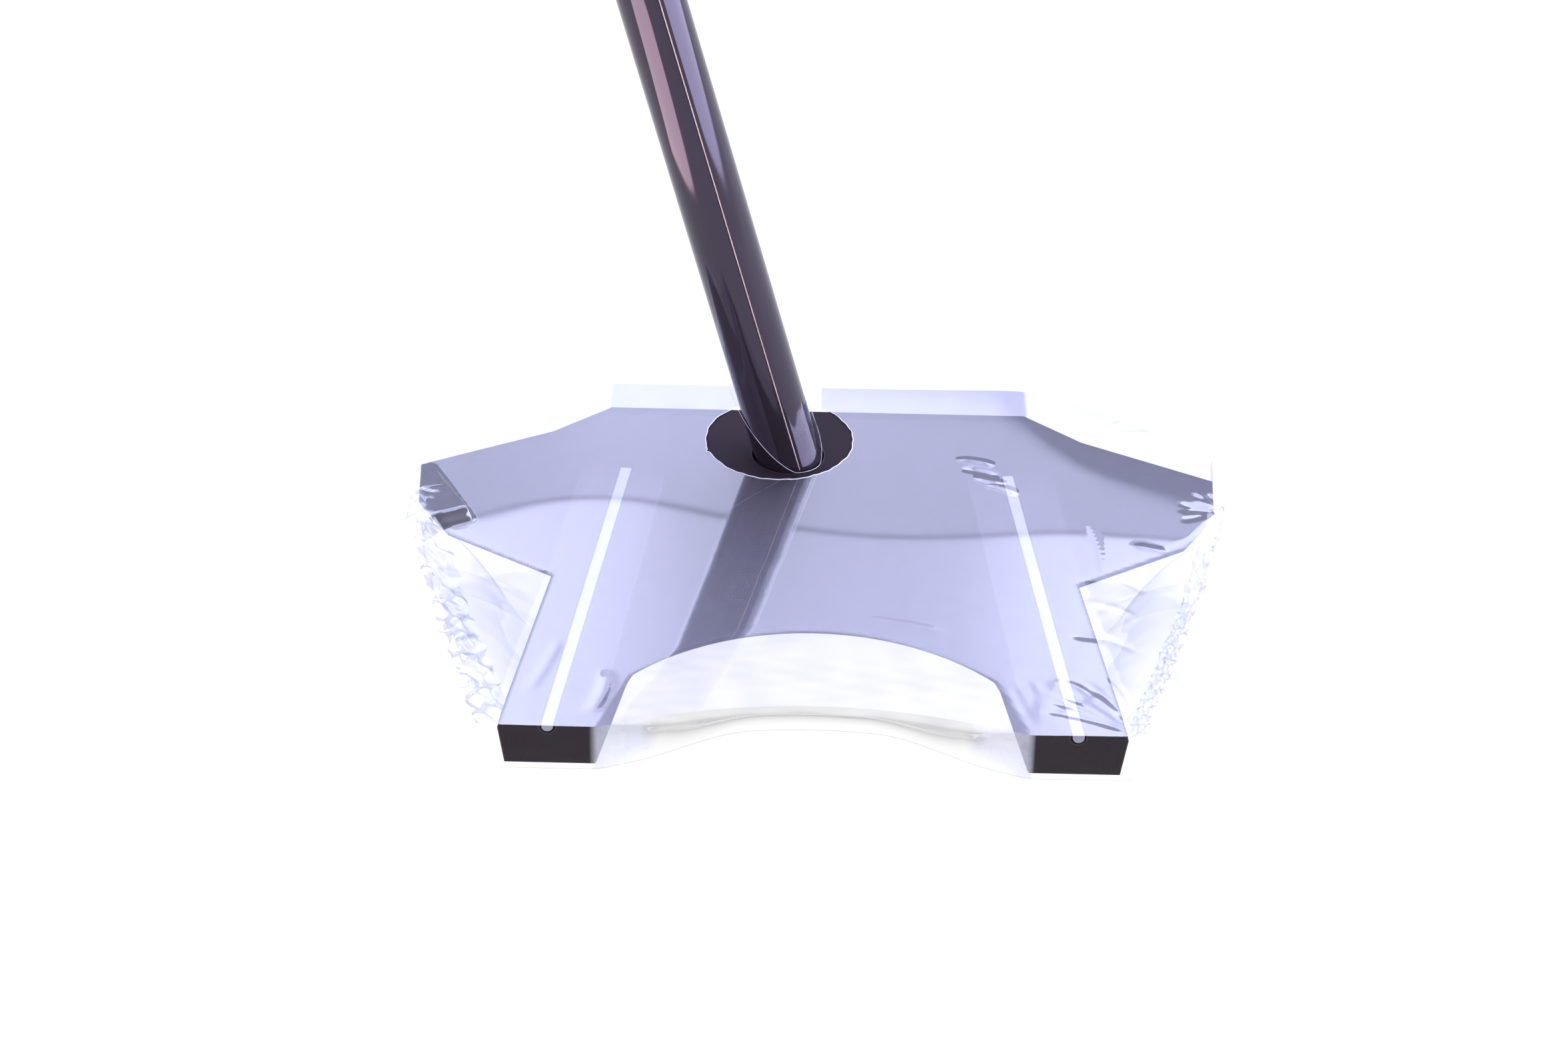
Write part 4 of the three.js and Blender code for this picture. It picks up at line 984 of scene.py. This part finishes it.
sleeve_grid, above = sleeve_points()
sleeve = surface("shaft_film_sleeve", sleeve_grid, sleeve_film, "clear_film", wrap=True)
mark_film(sleeve, 0.25 * np.exp(-above / 6.0))
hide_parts("shaft_sleeve")
bead("sleeve_cut_rim", sleeve_grid[0], 0.028, 6, cut_edge_highlight, closed=True)

SEAM_BEARING = math.radians(110.5)
seam_station = np.linspace(-0.6, sleeve_top, 200)
seam_angle = np.full_like(seam_station, SEAM_BEARING)
seam_path = about_axis(seam_station, step_radius(seam_station) + SLEEVE_CLEAR + 0.03, seam_angle)
# The seam's bead is pale pink: a painted highlight along the sleeve's seam.
seam_highlight = textured(
    "seam_highlight", (0.42, 0.30, 0.30), (0.55, 0.42, 0.42), (0.2, 0.35), 700.0, 2000.0, 0.3
)
bead("sleeve_seam", seam_path, 0.075, 6, seam_highlight)

# %% [markdown]
# ## The grip
# A putter grip is moulded rubber on a paddle-like section, with a flat for the thumbs and rows
# of small pads. Its radius is a function of height and angle, and the pads are raised in it.

# %% Grip
GRIP_MOUTH = 10.2
GRIP_WAIST = 11.4
GRIP_BUTT = 14.2
GRIP_FLAT = 0.78
FLAT_LEAST = BUTT_RADIUS + 2.0
grip_top = station_of("grip_tape", 1) + 4.0
grip_mouth = station_of("grip_tape", -1) - 4.0
GRIP_SIDES = 160
GRIP_ROWS = 380


def grip_surface():
    """Radius: mouth to waist in a straight line, a swell to the butt with the cube of the
    height, a flat where the section is cut off but never down to the tape, then shallow
    grooves between the pads."""
    share = np.linspace(0, 1, GRIP_ROWS)[:, None]
    angle = np.linspace(0, 2 * math.pi, GRIP_SIDES, endpoint=False)[None]
    radius = GRIP_MOUTH + (GRIP_WAIST - GRIP_MOUTH) * share + (GRIP_BUTT - GRIP_WAIST) * share**3
    edge_round = 1.0 - 0.08 * np.exp(-share / 0.004) - 0.07 * np.exp(-(1 - share) / 0.004)
    radius = radius * edge_round + 0 * angle
    toe_reach = -np.cos(angle) * radius
    flat = np.maximum(radius * GRIP_FLAT, FLAT_LEAST)
    cut = flat / np.maximum(-np.cos(angle), 0.05)
    blend = np.where(toe_reach > flat, cut, radius)
    length = grip_top - grip_mouth
    rows = np.abs(np.sin(math.pi * share * length / 7.0))
    columns = np.abs(np.sin(angle * 9 + np.floor(share * length / 7.0) * math.pi / 2))
    pads = smooth_step(np.minimum(rows, columns), 0.16, 0.42)
    plain = smooth_step(share, 0.06, 0.09) * (1 - smooth_step(share, 0.93, 0.96))
    blend = blend - 0.35 * plain * (1 - pads)
    return about_axis(grip_mouth + share * length + 0 * angle, blend, angle + 0 * share)


grip_rubber = textured(
    "grip_rubber", (0.012, 0.012, 0.014), (0.026, 0.026, 0.029), (0.62, 0.8), 120.0, 4200.0, 0.7
)
grip = surface("moulded_grip", grip_surface(), grip_rubber, "grip_rubber", wrap=True, caps=True)
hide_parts("grip")
